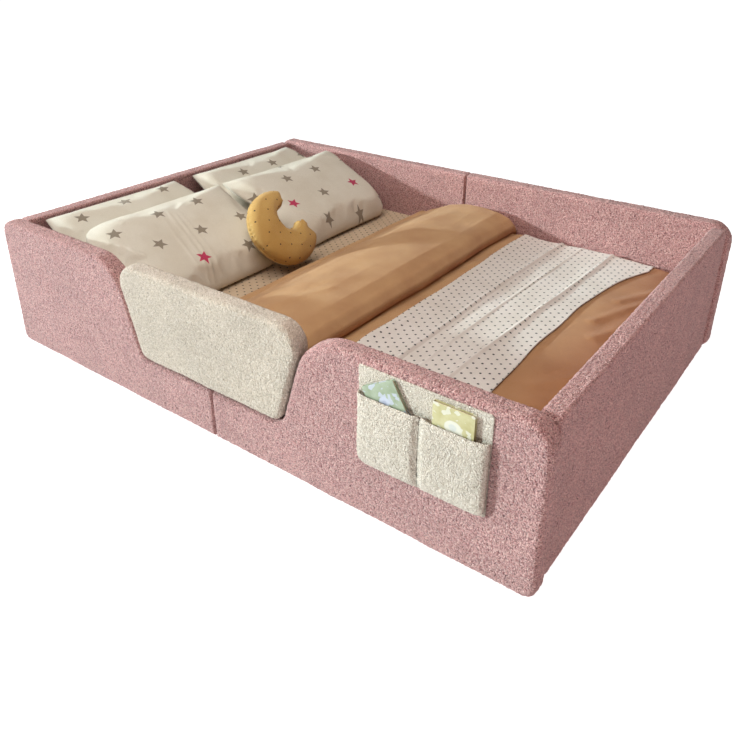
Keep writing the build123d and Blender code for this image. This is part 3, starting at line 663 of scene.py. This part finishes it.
def make_rail(name, half, has_dip):
    """One half of a padded side rail, with its share of the dip."""
    node = f"{name}_cover_{half}"
    low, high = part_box(node)
    side = -1 if half == "head" else 1
    end = low.x if side < 0 else high.x
    top_round = RAIL_HEAD_ROUND if side < 0 else RAIL_FOOT_ROUND
    seam_round = 0.004
    corners = [(end, low.z, RAIL_BOTTOM_ROUND), (end, high.z, top_round)]
    if has_dip:
        corners += [
            (dip_edge(high.z, side), high.z, DIP_SHOULDER_ROUND),
            (dip_edge(DIP_FLOOR, side), DIP_FLOOR, DIP_FLOOR_ROUND),
            (0.0, DIP_FLOOR, seam_round),
        ]
    else:
        corners.append((0.0, high.z, seam_round))
    corners.append((0.0, low.z, seam_round))
    if side > 0:
        corners.reverse()
    # the head half runs clockwise seen from the front, the foot half does after reversing
    outline = rounded(corners[::-1])
    vertices, faces = slab(outline, high.y - low.y, RAIL_RIM, towards_back(low.y))
    made = piece(f"{node}_boucle", vertices, faces, PINK, "bed", [node])
    looped(made, LOOP_SPACING)
    pull_seam(made, 0, 0.0)


def make_wall(name):
    """A padded end wall between the side rails."""
    node = f"{name}_cover"
    low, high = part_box(node)
    corners = [
        (low.y, low.z, SMALL_ROUND),
        (high.y, low.z, SMALL_ROUND),
        (high.y, high.z, RAIL_RIM),
        (low.y, high.z, RAIL_RIM),
    ]
    thick = high.x - low.x
    vertices, faces = slab(rounded(corners), thick, WALL_RIM, lambda a, b, depth: (high.x - depth, a, b))
    made = piece(f"{node}_boucle", vertices, faces, PINK, "bed", [node])
    looped(made, LOOP_SPACING)


def make_guard():
    """The cream guard panel that fills the dip."""
    low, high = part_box("guard_cover")
    sideways = GUARD_GAP * math.hypot(1, DIP_FLARE)
    corners = [
        (dip_edge(low.z, -1) + sideways, low.z, GUARD_FLOOR_ROUND),
        (dip_edge(low.z, 1) - sideways, low.z, GUARD_FLOOR_ROUND),
        (dip_edge(high.z, 1) - sideways, high.z, GUARD_TOP_ROUND),
        (dip_edge(high.z, -1) + sideways, high.z, GUARD_TOP_ROUND),
    ]
    vertices, faces = slab(rounded(corners), high.y - low.y, RAIL_RIM, towards_back(low.y))
    made = piece("guard_boucle", vertices, faces, CREAM, "guard", ["guard_cover"])
    looped(made, LOOP_SPACING * 0.8, LOOP_HEIGHT * 0.8)


# -------------------- book pockets
def make_patch():
    """The flat cream cloth that is sewn on the rail behind the pockets."""
    low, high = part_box("pocket_patch")
    outline = rectangle(low.x, low.z, high.x, high.z, SMALL_ROUND)
    vertices, faces = slab(outline, high.y - low.y, 0.0012, towards_back(low.y))
    made = piece(
        "pocket_patch_boucle", vertices, faces, POCKET_CREAM, "bed", ["pocket_patch"]
    )
    looped(made, 0.0022, LOOP_HEIGHT * 0.4)


def make_pocket(hand):
    """One puffed pocket: a padded outer skin, rounded lower corners and an open mouth."""
    low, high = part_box(f"pocket_{hand}")
    seam = (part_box("pocket_left")[1].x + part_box("pocket_right")[0].x) / 2
    if hand == "left":
        high.x = seam
    else:
        low.x = seam
    half = (high.x - low.x) / 2
    middle = (high.x + low.x) / 2
    height = high.z - low.z
    corner = 0.030
    wall = 0.005
    outer_side = -1 if hand == "left" else 1
    book_low, book_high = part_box(f"book_{hand}")

    def fullness(u):
        """Share of the full depth across the pocket: round outside, a soft groove between the two."""
        groove = 1 - 0.45 * math.exp(-((half * (1 + u * outer_side) / 0.011) ** 2))
        return groove * (0.10 + 0.90 * (1 - max(u * outer_side, 0) ** 9) ** 0.5)

    def opening(x):
        """How far the mouth stands off the rail: wide round the book, nearly closed beside it."""
        outside = max(book_low.x - x, x - book_high.x, 0)
        return 0.0030 + 0.0090 * math.exp(-((outside / 0.016) ** 2))

    across = np.linspace(-1, 1, int(2 * half / POCKET_SPACING))
    up = np.linspace(0, 1, int(height / POCKET_SPACING))
    outer, inner = [], []
    for v in up:
        rise = v * height
        cut = corner - math.sqrt(max(corner**2 - max(corner - rise, 0) ** 2, 0))
        sag = 0.004 * v**6
        lip = 1 - math.sqrt(1 - max((v - 0.90) / 0.10, 0) ** 2)
        for u in across:
            bulge = fullness(u) * (1 - (1 - v) ** 9) ** 0.5
            x = middle + u * (half - wall)
            front = POCKET_DEPTH * bulge * (0.90 + 0.10 * v - 0.26 * v**3)
            back = min(opening(x) * (0.7 + 0.3 * v), 0.85 * POCKET_DEPTH * fullness(u))
            turn = max(front - back, 0) / 2 * lip  # both skins turn towards each other at the mouth
            side = u * (half - cut) if u * outer_side > 0 else u * half
            outer.append((middle + side, high.y - front + turn, low.z + rise - sag * (1 - u * u)))
            inner.append((x, high.y - back - turn, low.z + 0.008 + v * (height - 0.010)))
    vertices = outer + inner
    behind = len(outer)
    columns = len(across)

    def cell(i, j, start=0):
        return start + j * columns + i

    faces = []
    last, right = len(up) - 1, columns - 1
    for j in range(last):
        for i in range(right):
            square = [cell(i, j), cell(i + 1, j), cell(i + 1, j + 1), cell(i, j + 1)]
            faces.append(tuple(square))
            faces.append(tuple(behind + k for k in reversed(square)))
    for i in range(right):
        faces.append((cell(i, last), cell(i + 1, last), cell(i + 1, last, behind), cell(i, last, behind)))
        faces.append((cell(i + 1, 0), cell(i, 0), cell(i, 0, behind), cell(i + 1, 0, behind)))
    for j in range(last):
        faces.append((cell(0, j + 1), cell(0, j + 1, behind), cell(0, j, behind), cell(0, j)))
        faces.append((cell(right, j), cell(right, j, behind), cell(right, j + 1, behind), cell(right, j + 1)))
    node = f"pocket_{hand}"
    made = piece(f"{node}_boucle", vertices, faces, POCKET_CREAM, "bed", [node])
    raise_loops(made, LOOP_HEIGHT * 0.8)


def make_book(hand, corner, size, tilt, art):
    """A hardback picture book: two boards and a spine round a block of pages."""
    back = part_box(f"book_{hand}")[1].y
    width, height = size
    turn = Matrix.Rotation(math.radians(-tilt), 4, "Y")
    centre = Vector((corner[0], back - BOOK_THICK / 2, corner[1]))
    centre += turn @ Vector((-width / 2, 0, -height / 2))
    board = 0.0018
    half_x, half_y, half_z = width / 2, BOOK_THICK / 2, height / 2

    def block(x0, x1, y0, y1, z0, z1, soft):
        outline = rectangle(x0, z0, x1, z1, soft, 0.001)
        return slab(outline, y1 - y0, min(soft, (y1 - y0) * 0.3), towards_back(y0))

    vertices, faces = [], []
    for part in (
        (-half_x, half_x, -half_y, -half_y + board, -half_z, half_z, 0.003),
        (-half_x, half_x, half_y - board, half_y, -half_z, half_z, 0.003),
        (-half_x, -half_x + board, -half_y + board, half_y - board, -half_z, half_z, 0.0008),
    ):
        more, quads = block(*part)
        faces += [tuple(len(vertices) + k for k in quad) for quad in quads]
        vertices += more
    body = f"book_{hand}"
    cover = piece(f"{body}_cover", vertices, faces, art, body, [body])
    inset = 0.003
    across, deep, upright = (-half_x + board, half_x - inset), half_y - board, half_z - inset
    vertices, faces = block(*across, -deep, deep, -upright, upright, 0.001)
    pages = piece(f"{body}_pages", vertices, faces, PAGES, body)
    for part in (cover, pages):
        part.matrix_world = Matrix.Translation(centre) @ turn
        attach(part, body)


# -------------------- mattress, sheet, duvet and throw
def make_mattress():
    """Foam mattress with rounded rims, its top just under the fitted sheet."""
    low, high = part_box("mattress")
    outline = rectangle(low.x, low.y, high.x, high.y, 0.030)
    thick = high.z - low.z
    gap = 0.003  # between the ticking and the top of the sheet
    vertices, faces = slab(outline, thick - gap, 0.014, lambda a, b, d: (a, b, high.z - gap - d))
    made = piece("mattress_ticking", vertices, faces, TICKING, "mattress", ["mattress"])


def make_sheet():
    """Fitted sheet: taut over the mattress, with soft ripples, and gathered down its sides."""
    low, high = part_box("fitted_sheet")
    rim = 0.016
    even, outline = evened(rectangle(low.x, low.y, high.x, high.y, 0.032, 0.01), 420)
    rows = []
    for share in np.linspace(0.02, 1 - rim / (high.y - low.y) * 2, 70):
        ring = outline * share
        points = np.column_stack([ring, np.full(len(ring), high.z)])
        ripple = 0.0016 * grain(points * (1.0, 0.45, 1.0), 0.055, 11) + 0.0007 * grain(points, 0.018, 12)
        points[:, 2] += ripple - 0.0012
        rows.append(points)
    inward = -outline / np.linalg.norm(outline, axis=1)[:, None]

    def ring_at(inset, depth):
        """The outline moved in by an inset, at a depth below the top."""
        inset = np.broadcast_to(inset, len(outline))
        return np.column_stack([outline + inward * inset[:, None], np.full(len(outline), high.z - depth)])

    for turn in np.linspace(0.2, math.pi / 2, 6):
        rows.append(ring_at(rim * (1 - math.sin(turn)), rim * (1 - math.cos(turn))))
    for fall in np.linspace(rim + 0.012, SHEET_DROP, 9):
        gather = 0.0012 * np.sin(even * 260) * (fall / SHEET_DROP) ** 2
        rows.append(ring_at(gather + 0.0012, fall))
    vertices = np.vstack(rows)
    faces = [quad[::-1] for quad in ring_faces(len(outline), len(rows))]
    faces.append(tuple(range(len(outline))))
    made = piece(
        "fitted_sheet_cotton", vertices, faces, SAND_DOTS, "mattress", ["fitted_sheet"]
    )


def swell(points):
    """How far the single layer of the duvet stands above its mean height."""
    x, y = points[:, 0], points[:, 1]
    flat = np.column_stack([x, y * 0.42, np.zeros(len(x))])
    rise = 0.0050 * grain(flat, 0.15, 21) + 0.0022 * grain(flat, 0.055, 22)
    rise += 0.006 * np.exp(-(((x - 0.30) / 0.035) ** 2))
    rise -= 0.026 * np.clip((x - 0.74) / 0.21, 0, 1) ** 2
    for start, finish, height, width in DUVET_CREASES:
        rise += ridge(points[:, :2], start, finish, height, width)
    return rise


def ridge(flat, start, finish, height, width):
    """Height of a soft crease between two points, for points seen from above."""
    first, along = np.array(start), np.array(finish) - np.array(start)
    share = ((flat - first) @ along) / (along @ along)
    away = flat - first - np.clip(share, 0, 1)[:, None] * along
    distance = np.linalg.norm(away, axis=1)
    return height * np.exp(-((distance / width) ** 2))


def ends_fall(y, reach_front, reach_back):
    """Share of its height that a layer keeps near its two side edges."""
    from_front = np.clip((y + DUVET_HALF) / reach_front, 0, 1)
    from_back = np.clip((DUVET_HALF - y) / reach_back, 0, 1)
    edge = np.minimum(from_front, from_back)
    return 0.22 + 0.78 * np.sqrt(1 - (1 - edge) ** 2)


def divided(outline, step):
    """A closed outline with its long sides cut into steps, its corners kept."""
    points = []
    for here, there in zip(outline, np.roll(outline, -1, axis=0)):
        count = max(1, math.ceil(np.linalg.norm(there - here) / step))
        points += [here + (there - here) * share / count for share in range(count)]
    return np.array(points)


def make_duvet():
    """Duvet with its head end folded back in a soft band, then one layer to the foot wall."""
    profile = rounded(
        [
            (DUVET_HEAD, DUVET_FLOOR, 0.010),
            (DUVET_FOOT, DUVET_FLOOR, 0.008),
            (DUVET_FOOT, DUVET_TOP, 0.018),
            (FOLD_FOOT + 0.006, DUVET_TOP, 0.002),
            (FOLD_FOOT - 0.008, DUVET_TOP + 0.004, 0.001),
            (FOLD_FOOT + 0.001, 0.294, 0.008),
            (FOLD_FOOT + 0.004, 0.318, 0.020),
            (FOLD_FOOT - 0.020, 0.345, 0.035),
            (0.172, 0.360, 0.080),
            (0.105, FOLD_TOP, 0.120),
            (0.020, FOLD_TOP + 0.001, 0.150),
            (-0.045, 0.351, 0.060),
            (-0.100, 0.325, 0.040),
            (-0.150, 0.303, 0.006),
            (-0.142, 0.289, 0.001),
            (-0.156, 0.292, 0.002),
            (DUVET_HEAD - 0.006, 0.294, 0.018),
        ],
        0.0015,
    )
    profile = divided(profile, 0.0065)
    stations = np.linspace(-DUVET_HALF, DUVET_HALF, 210)
    rows = [np.column_stack([profile[:, 0], np.full(len(profile), y), profile[:, 1]]) for y in stations]
    points = np.vstack(rows)
    x, y, z = points.T
    band = (x < FOLD_FOOT + 0.006) & (z > DUVET_TOP + 0.004)
    single = (x >= FOLD_FOOT + 0.004) & (z > DUVET_FLOOR + 0.012)
    soft = np.column_stack([x, y * 0.35, np.zeros(len(x))])
    wave = 0.0045 * grain(soft, 0.13, 31) + 0.0018 * grain(soft, 0.05, 32)
    for start, finish, height, width in (
        ((-0.10, -0.50), (0.12, -0.20), 0.003, 0.030),
        ((-0.12, 0.10), (0.05, 0.50), 0.003, 0.026),
        ((0.02, -0.58), (0.10, -0.32), 0.003, 0.018),
    ):
        wave += ridge(points[:, :2], start, finish, height, width)
    lifted = np.where(band, wave, 0.0)
    lifted = np.where(single, swell(points), lifted)
    fall = np.where(band | (x < FOLD_FOOT), ends_fall(y, 0.095, 0.045), ends_fall(y, 0.045, 0.045))
    points[:, 2] = DUVET_FLOOR + (z - DUVET_FLOOR + lifted) * fall
    sway = 0.006 * grain(np.column_stack([y, y * 0, y * 0]), 0.21, 33)
    points[:, 0] += np.where(x < FOLD_FOOT + 0.02, sway, 0.0) * np.clip((z - DUVET_FLOOR) / 0.03, 0, 1)
    count = len(profile)
    faces = ring_faces(count, len(stations))
    faces.append(tuple(reversed(range(count))))
    faces.append(tuple(range(len(points) - count, len(points))))
    faces = [face[::-1] for face in faces]
    made = piece("duvet_cotton", points, faces, CARAMEL, "mattress", ["duvet"])


def make_throw():
    """Thin dotted blanket laid across the duvet, with three soft creases along it."""
    across = np.linspace(0, 1, 120)
    stations = np.linspace(-DUVET_HALF, DUVET_HALF, 260)
    rows = []
    for y in stations:
        flare = THROW_FLARE * min(max(y - 0.13, 0) / 0.47, 1) ** 2 + 0.012 * min(max(-y - 0.05, 0) / 0.4, 1)
        uneven = 0.003 * math.sin(y * 9.0) + 0.002 * math.sin(y * 21.0 + 1.0)
        x = THROW_HEAD + uneven * 0.5 + across * (THROW_FOOT + flare + uneven * 0.4 - THROW_HEAD)
        rows.append(np.column_stack([x, np.full(len(x), y), np.full(len(x), DUVET_TOP)]))
    points = np.vstack(rows)
    x, y = points[:, 0], points[:, 1]
    rise = swell(points) + 0.0022 + 0.0006 * grain(points, 0.03, 41)
    for place, height in ((0.446, 0.0085), (0.520, 0.0025), (0.624, 0.0055)):
        line = x - place - 0.012 * np.sin(y * 2.6 + place * 9) - 0.020 * y
        beside = 0.35 * height * np.exp(-(((line + 0.016) / 0.016) ** 2))
        rise += height * np.exp(-((line / 0.0048) ** 2)) + beside
    points[:, 2] = DUVET_FLOOR + (DUVET_TOP - DUVET_FLOOR + rise) * ends_fall(y, 0.045, 0.045) + 0.0008
    columns = len(across)
    faces = []
    for j in range(len(stations) - 1):
        for i in range(columns - 1):
            low = j * columns + i
            faces.append((low, low + 1, low + columns + 1, low + columns))
    made = piece("throw_cotton", points, faces, DOTS, "mattress", ["throw_blanket"])
    thick = made.modifiers.new("cloth", "SOLIDIFY")
    thick.thickness = THROW_THICK
    thick.offset = 1.0
    settle(made)


# -------------------- pillows and moon cushion
def inflate(made, pressure, frames, cap):
    """Blows a sewn shell up with cloth simulation, and caps how far a point moves."""
    start = places(made)
    cloth = made.modifiers.new("cloth", "CLOTH")
    fabric = {
        "quality": 6,
        "mass": 0.25,
        "tension_stiffness": 30,
        "compression_stiffness": 12,
        "shear_stiffness": 8,
        "bending_stiffness": 0.4,
        "use_pressure": True,
        "uniform_pressure_force": pressure,
    }
    for key, value in fabric.items():
        setattr(cloth.settings, key, value)
    cloth.settings.effector_weights.gravity = 0
    scene = bpy.context.scene
    cloth.point_cache.frame_start = 1
    cloth.point_cache.frame_end = frames
    for number in range(1, frames + 1):
        scene.frame_set(number)
    settle(made)
    scene.frame_set(1)
    moved = places(made) - start
    far = np.linalg.norm(moved, axis=1)
    move_to(made, start + moved * np.minimum(1, cap / np.maximum(far, 1e-9))[:, None])


def two_panels(columns, rows, panel):
    """Closed shell of two panels sewn at the rim; panel(i, j, side) gives a point."""
    vertices, index = [], {}
    for side in (1, -1):
        for j in range(rows + 1):
            for i in range(columns + 1):
                rim = i in (0, columns) or j in (0, rows)
                if rim and side < 0:
                    index[i, j, side] = index[i, j, 1]
                    continue
                index[i, j, side] = len(vertices)
                vertices.append(panel(i, j, side))
    faces = []
    for side in (1, -1):
        for j in range(rows):
            for i in range(columns):
                square = [index[a, b, side] for a, b in ((i, j), (i + 1, j), (i + 1, j + 1), (i, j + 1))]
                faces.append(tuple(square if side > 0 else reversed(square)))
    return vertices, faces


def make_pillow(name, pitch, creases, taper, tuck):
    """A stuffed pillow: sewn flat, blown up, then creased and laid at its slope.

    taper narrows its lower edge, or its upper one if negative; tuck pulls in its upper left corner."""
    low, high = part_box(name)
    columns, rows = round(PILLOW_WIDTH / PILLOW_SPACING), round(PILLOW_LENGTH / PILLOW_SPACING)
    slack = 1.04  # the flat pillowcase is larger than the stuffed one

    def panel(i, j, side):
        u, v = 2 * i / columns - 1, 2 * j / rows - 1
        rim = abs(v) ** (5 if v < 0 else 2.4)  # flatter towards its upper edge
        full = ((1 - abs(u) ** 5) * (1 - rim)) ** 0.5
        corner = 0.09 * u**8 * max(-v, 0) ** 8  # the two lower corners are tucked in
        corner += tuck * max(-u, 0) ** 4 * max(v, 0) ** 4
        narrower = taper * (1 - v) / 2 if taper > 0 else -taper * (1 + v) / 2
        x = u * PILLOW_WIDTH / 2 * slack * (1 + 0.03 * (1 - v * v) - narrower - corner)
        y = v * PILLOW_LENGTH / 2 * slack * (1 + 0.03 * (1 - u * u) - corner)
        return (x, y, side * (0.0012 + 0.035 * full))

    vertices, faces = two_panels(columns, rows, panel)
    made = piece(f"{name}_cotton", vertices, faces, STARS[name], name, [name])
    inflate(made, 3.2, 22, 0.024)
    refined(made)
    points = places(made)
    points[:, :2] *= np.array([PILLOW_WIDTH, PILLOW_LENGTH]) / np.ptp(points[:, :2], axis=0)
    upper = np.clip(normals(made)[:, 2], 0, 1)
    for start, finish, height, width in creases:
        points[:, 2] += upper * ridge(points[:, :2], start, finish, height, width)
    points[:, 2] += 0.004 * grain(points + lattice_shift(name), 0.12, 51) * upper
    half = PILLOW_THICK * 0.5
    points[:, 2] *= min(1.0, half / np.abs(points[:, 2]).max())
    below = np.clip(-2 * points[:, 1] / PILLOW_LENGTH, 0, 1)
    thin = 1 - np.clip(np.abs(points[:, 2]) / half, 0, 1)
    points[:, 2] -= (half - 0.006) * below**2.5 * (0.35 + 0.65 * thin)
    move_to(made, points)
    slope = math.radians(pitch)
    out = Vector((math.sin(slope), 0, math.cos(slope)))
    side = Vector((0, 1, 0))
    up = out.cross(side)
    axes = Matrix((side, up, out)).transposed().to_4x4()
    made.matrix_world = Matrix.Translation((low + high) / 2) @ axes
    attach(made, name)


def lattice_shift(name):
    """Gives each pillow its own place in the noise, so that no two are alike."""
    return (len(name) * 0.37, sum(map(ord, name)) * 0.011, 0.0)


def arc(centre, radius, degrees, count):
    """Points along an arc between two angles."""
    turns = np.radians(np.linspace(*degrees, count))
    return np.column_stack([centre[0] + radius * np.cos(turns), centre[1] + radius * np.sin(turns)])


def make_moon():
    """Crescent cushion: two curved panels blown up, with a puckered seam round its edge."""
    back = arc((0, 0), MOON_RADIUS - 0.004, MOON_HORNS, 170)
    bite = arc(MOON_BITE, MOON_BITE_RADIUS, MOON_BITE_SPAN[::-1], 60)
    _, outline = evened(np.vstack([back, bite]), 240)
    for _ in range(14):  # blunts the two horns
        outline = (np.roll(outline, 1, axis=0) + 2 * outline + np.roll(outline, -1, axis=0)) / 4
    half = MOON_THICK / 2
    vertices, faces = slab(outline, MOON_THICK, half * 0.92, lambda a, b, d: (a, b, half - d))
    body = "moon_cushion"
    made = piece(f"{body}_cotton", vertices, faces, MUSTARD, body, [body])
    remeshed(made, 0.005)
    inflate(made, 4.0, 20, 0.010)
    refined(made)
    points = places(made)
    points[:, :2] *= MOON_GROWTH * np.ptp(outline) / np.ptp(points[:, :2])
    facing = normals(made)
    around = np.arctan2(points[:, 1], points[:, 0])
    sideways = np.sqrt(np.clip(1 - facing[:, 2] ** 2, 0, 1))
    seam = np.exp(-((points[:, 2] / 0.0032) ** 2)) * sideways
    pucker = np.exp(-((points[:, 2] / 0.014) ** 2)) * sideways * np.sin(around * 46 + 2 * np.sin(around * 7))
    moved = -0.0035 * seam + 0.0011 * pucker + 0.0016 * grain(points, 0.045, 61)
    move_to(made, points + facing * moved[:, None])
    lean, turn = math.radians(MOON_LEAN), math.radians(MOON_TURN)
    out = Vector((math.cos(lean), 0, math.sin(lean)))
    opening = Vector((-math.sin(lean) * math.sin(turn), math.cos(turn), math.cos(lean) * math.sin(turn)))
    third = out.cross(opening)
    axes = Matrix((opening, third, out)).transposed().to_4x4()
    made.matrix_world = Matrix.Translation(MOON_CENTRE) @ axes
    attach(made, body)


# -------------------- finishes of the CAD parts that stay
def finish_frame_parts():
    """Gives every CAD part that shows its own material."""
    steel = "corner_brackets joint_plates beam_hangers beam_splice guard_tongues guard_sockets".split()
    for name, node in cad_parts.items():
        if name.endswith("_board") or "_board_" in name:
            look = PLY
        elif name.startswith(("ledger", "centre_beam")):
            look = PINE_X
        elif name.startswith("slat_") and name != "slat_straps":
            look = PINE_Y
        elif name in steel:
            look = STEEL
        elif name.endswith(("bolts", "screws")):
            look = FASTENER
        elif name.startswith(("wall_glides", "beam_foot")):
            look = PLASTIC
        elif name == "slat_straps":
            look = WEBBING
        else:
            continue
        node.data.materials.clear()
        node.data.materials.append(look)


# -------------------- camera, light and floor
def make_studio():
    """Camera at the viewing angle, a low sun and three soft lights, and a white floor and backdrop."""
    scene = bpy.context.scene
    data = bpy.data.cameras.new("camera")
    data.lens = 36.57
    data.sensor_width = 36.0
    data.shift_x = 0.0195
    data.shift_y = -0.1077
    data.clip_end = 200.0
    camera = placed("camera", data)
    camera.location = (1.436, -1.953, 1.349)
    camera.rotation_euler = (math.radians(64.91), math.radians(0.11), math.radians(37.28))
    scene.camera = camera

    sun = bpy.data.lights.new("key", "SUN")
    sun.energy = 3.5
    sun.angle = math.radians(3.0)
    sun.color = (0.80, 0.985, 1.0)
    key = placed("key", sun)
    key.rotation_euler = Vector((0.80, 0.56, -0.205)).to_track_quat("-Z", "Y").to_euler()
    for name, place, size, energy, colour in (
        ("overhead", (-0.1, -0.9, 2.9), 3.0, 92.0, (1.0, 0.93, 0.88)),
        ("head_side", (-3.0, -1.2, 1.0), 2.0, 50.0, (0.87, 0.92, 1.0)),
        ("foot_side", (3.2, -0.6, 1.0), 2.0, 9.0, (1.0, 0.25, 0.18)),
    ):
        soft = bpy.data.lights.new(name, "AREA")
        soft.size = size
        soft.energy = energy
        soft.color = colour
        box = placed(name, soft)
        box.location = place
        aim = Vector((0.0, 0.0, 0.2)) - box.location
        box.rotation_euler = aim.to_track_quat("-Z", "Y").to_euler()

    world = bpy.data.worlds.new("studio")
    world.use_nodes = True
    nodes, links = world.node_tree.nodes, world.node_tree.links
    dim = nodes["Background"]
    dim.inputs["Color"].default_value = (1.0, 0.8, 0.7, 1)
    dim.inputs["Strength"].default_value = 0.02
    pale = nodes.new("ShaderNodeBackground")  # what is seen behind the bed, without lighting it
    pale.inputs["Color"].default_value = (1, 1, 1, 1)
    seen, either = nodes.new("ShaderNodeLightPath"), nodes.new("ShaderNodeMixShader")
    links.new(seen.outputs["Is Camera Ray"], either.inputs[0])
    links.new(dim.outputs[0], either.inputs[1])
    links.new(pale.outputs[0], either.inputs[2])
    links.new(either.outputs[0], nodes["World Output"].inputs["Surface"])
    scene.world = world
    scene.view_settings.view_transform = "Standard"

    reach = 60.0
    corners = [(-reach, -reach, 0), (reach, -reach, 0), (reach, reach, 0), (-reach, reach, 0)]
    mesh = bpy.data.meshes.new("studio_floor")
    mesh.from_pydata(corners, [], [(0, 1, 2, 3)])
    floor = placed("studio_floor", mesh)
    made = Surface("studio_floor", 0.9, Specular_IOR_Level=0.0, Emission_Strength=1.0)
    made.shader.inputs["Emission Color"].default_value = (1.0, 1.0, 1.0, 1)
    speckle = made.noise(30.0, 2.0)
    made.colour(made.ramp(speckle, (0.3, (0.36, 0.36, 0.36, 1)), (0.7, (0.38, 0.38, 0.38, 1))))
    floor.data.materials.append(made.material)


# -------------------- build everything
make_studio()
for rail_name, with_dip in (("front_rail", True), ("back_rail", False)):
    for rail_half in ("head", "foot"):
        make_rail(rail_name, rail_half, with_dip)
make_wall("head_wall")
make_wall("foot_wall")
make_guard()
make_patch()
make_pocket("left")
make_pocket("right")
make_book("left", (0.637, 0.452), (0.100, 0.134), 30, ART_LEFT)
make_book("right", (0.849, 0.441), (0.105, 0.158), 0, ART_RIGHT)
make_mattress()
make_sheet()
make_duvet()
make_throw()
make_pillow("pillow_back_left", BACK_PITCH, (), BACK_TAPER, 0.0)
make_pillow("pillow_back_right", BACK_PITCH, (), BACK_TAPER, 0.0)
make_pillow("pillow_front_left", FRONT_PITCH, FRONT_CREASES, FRONT_TAPER, 0.14)
make_pillow("pillow_front_right", FRONT_PITCH, SIDE_CREASES, FRONT_TAPER, 0.0)
make_moon()
finish_frame_parts()
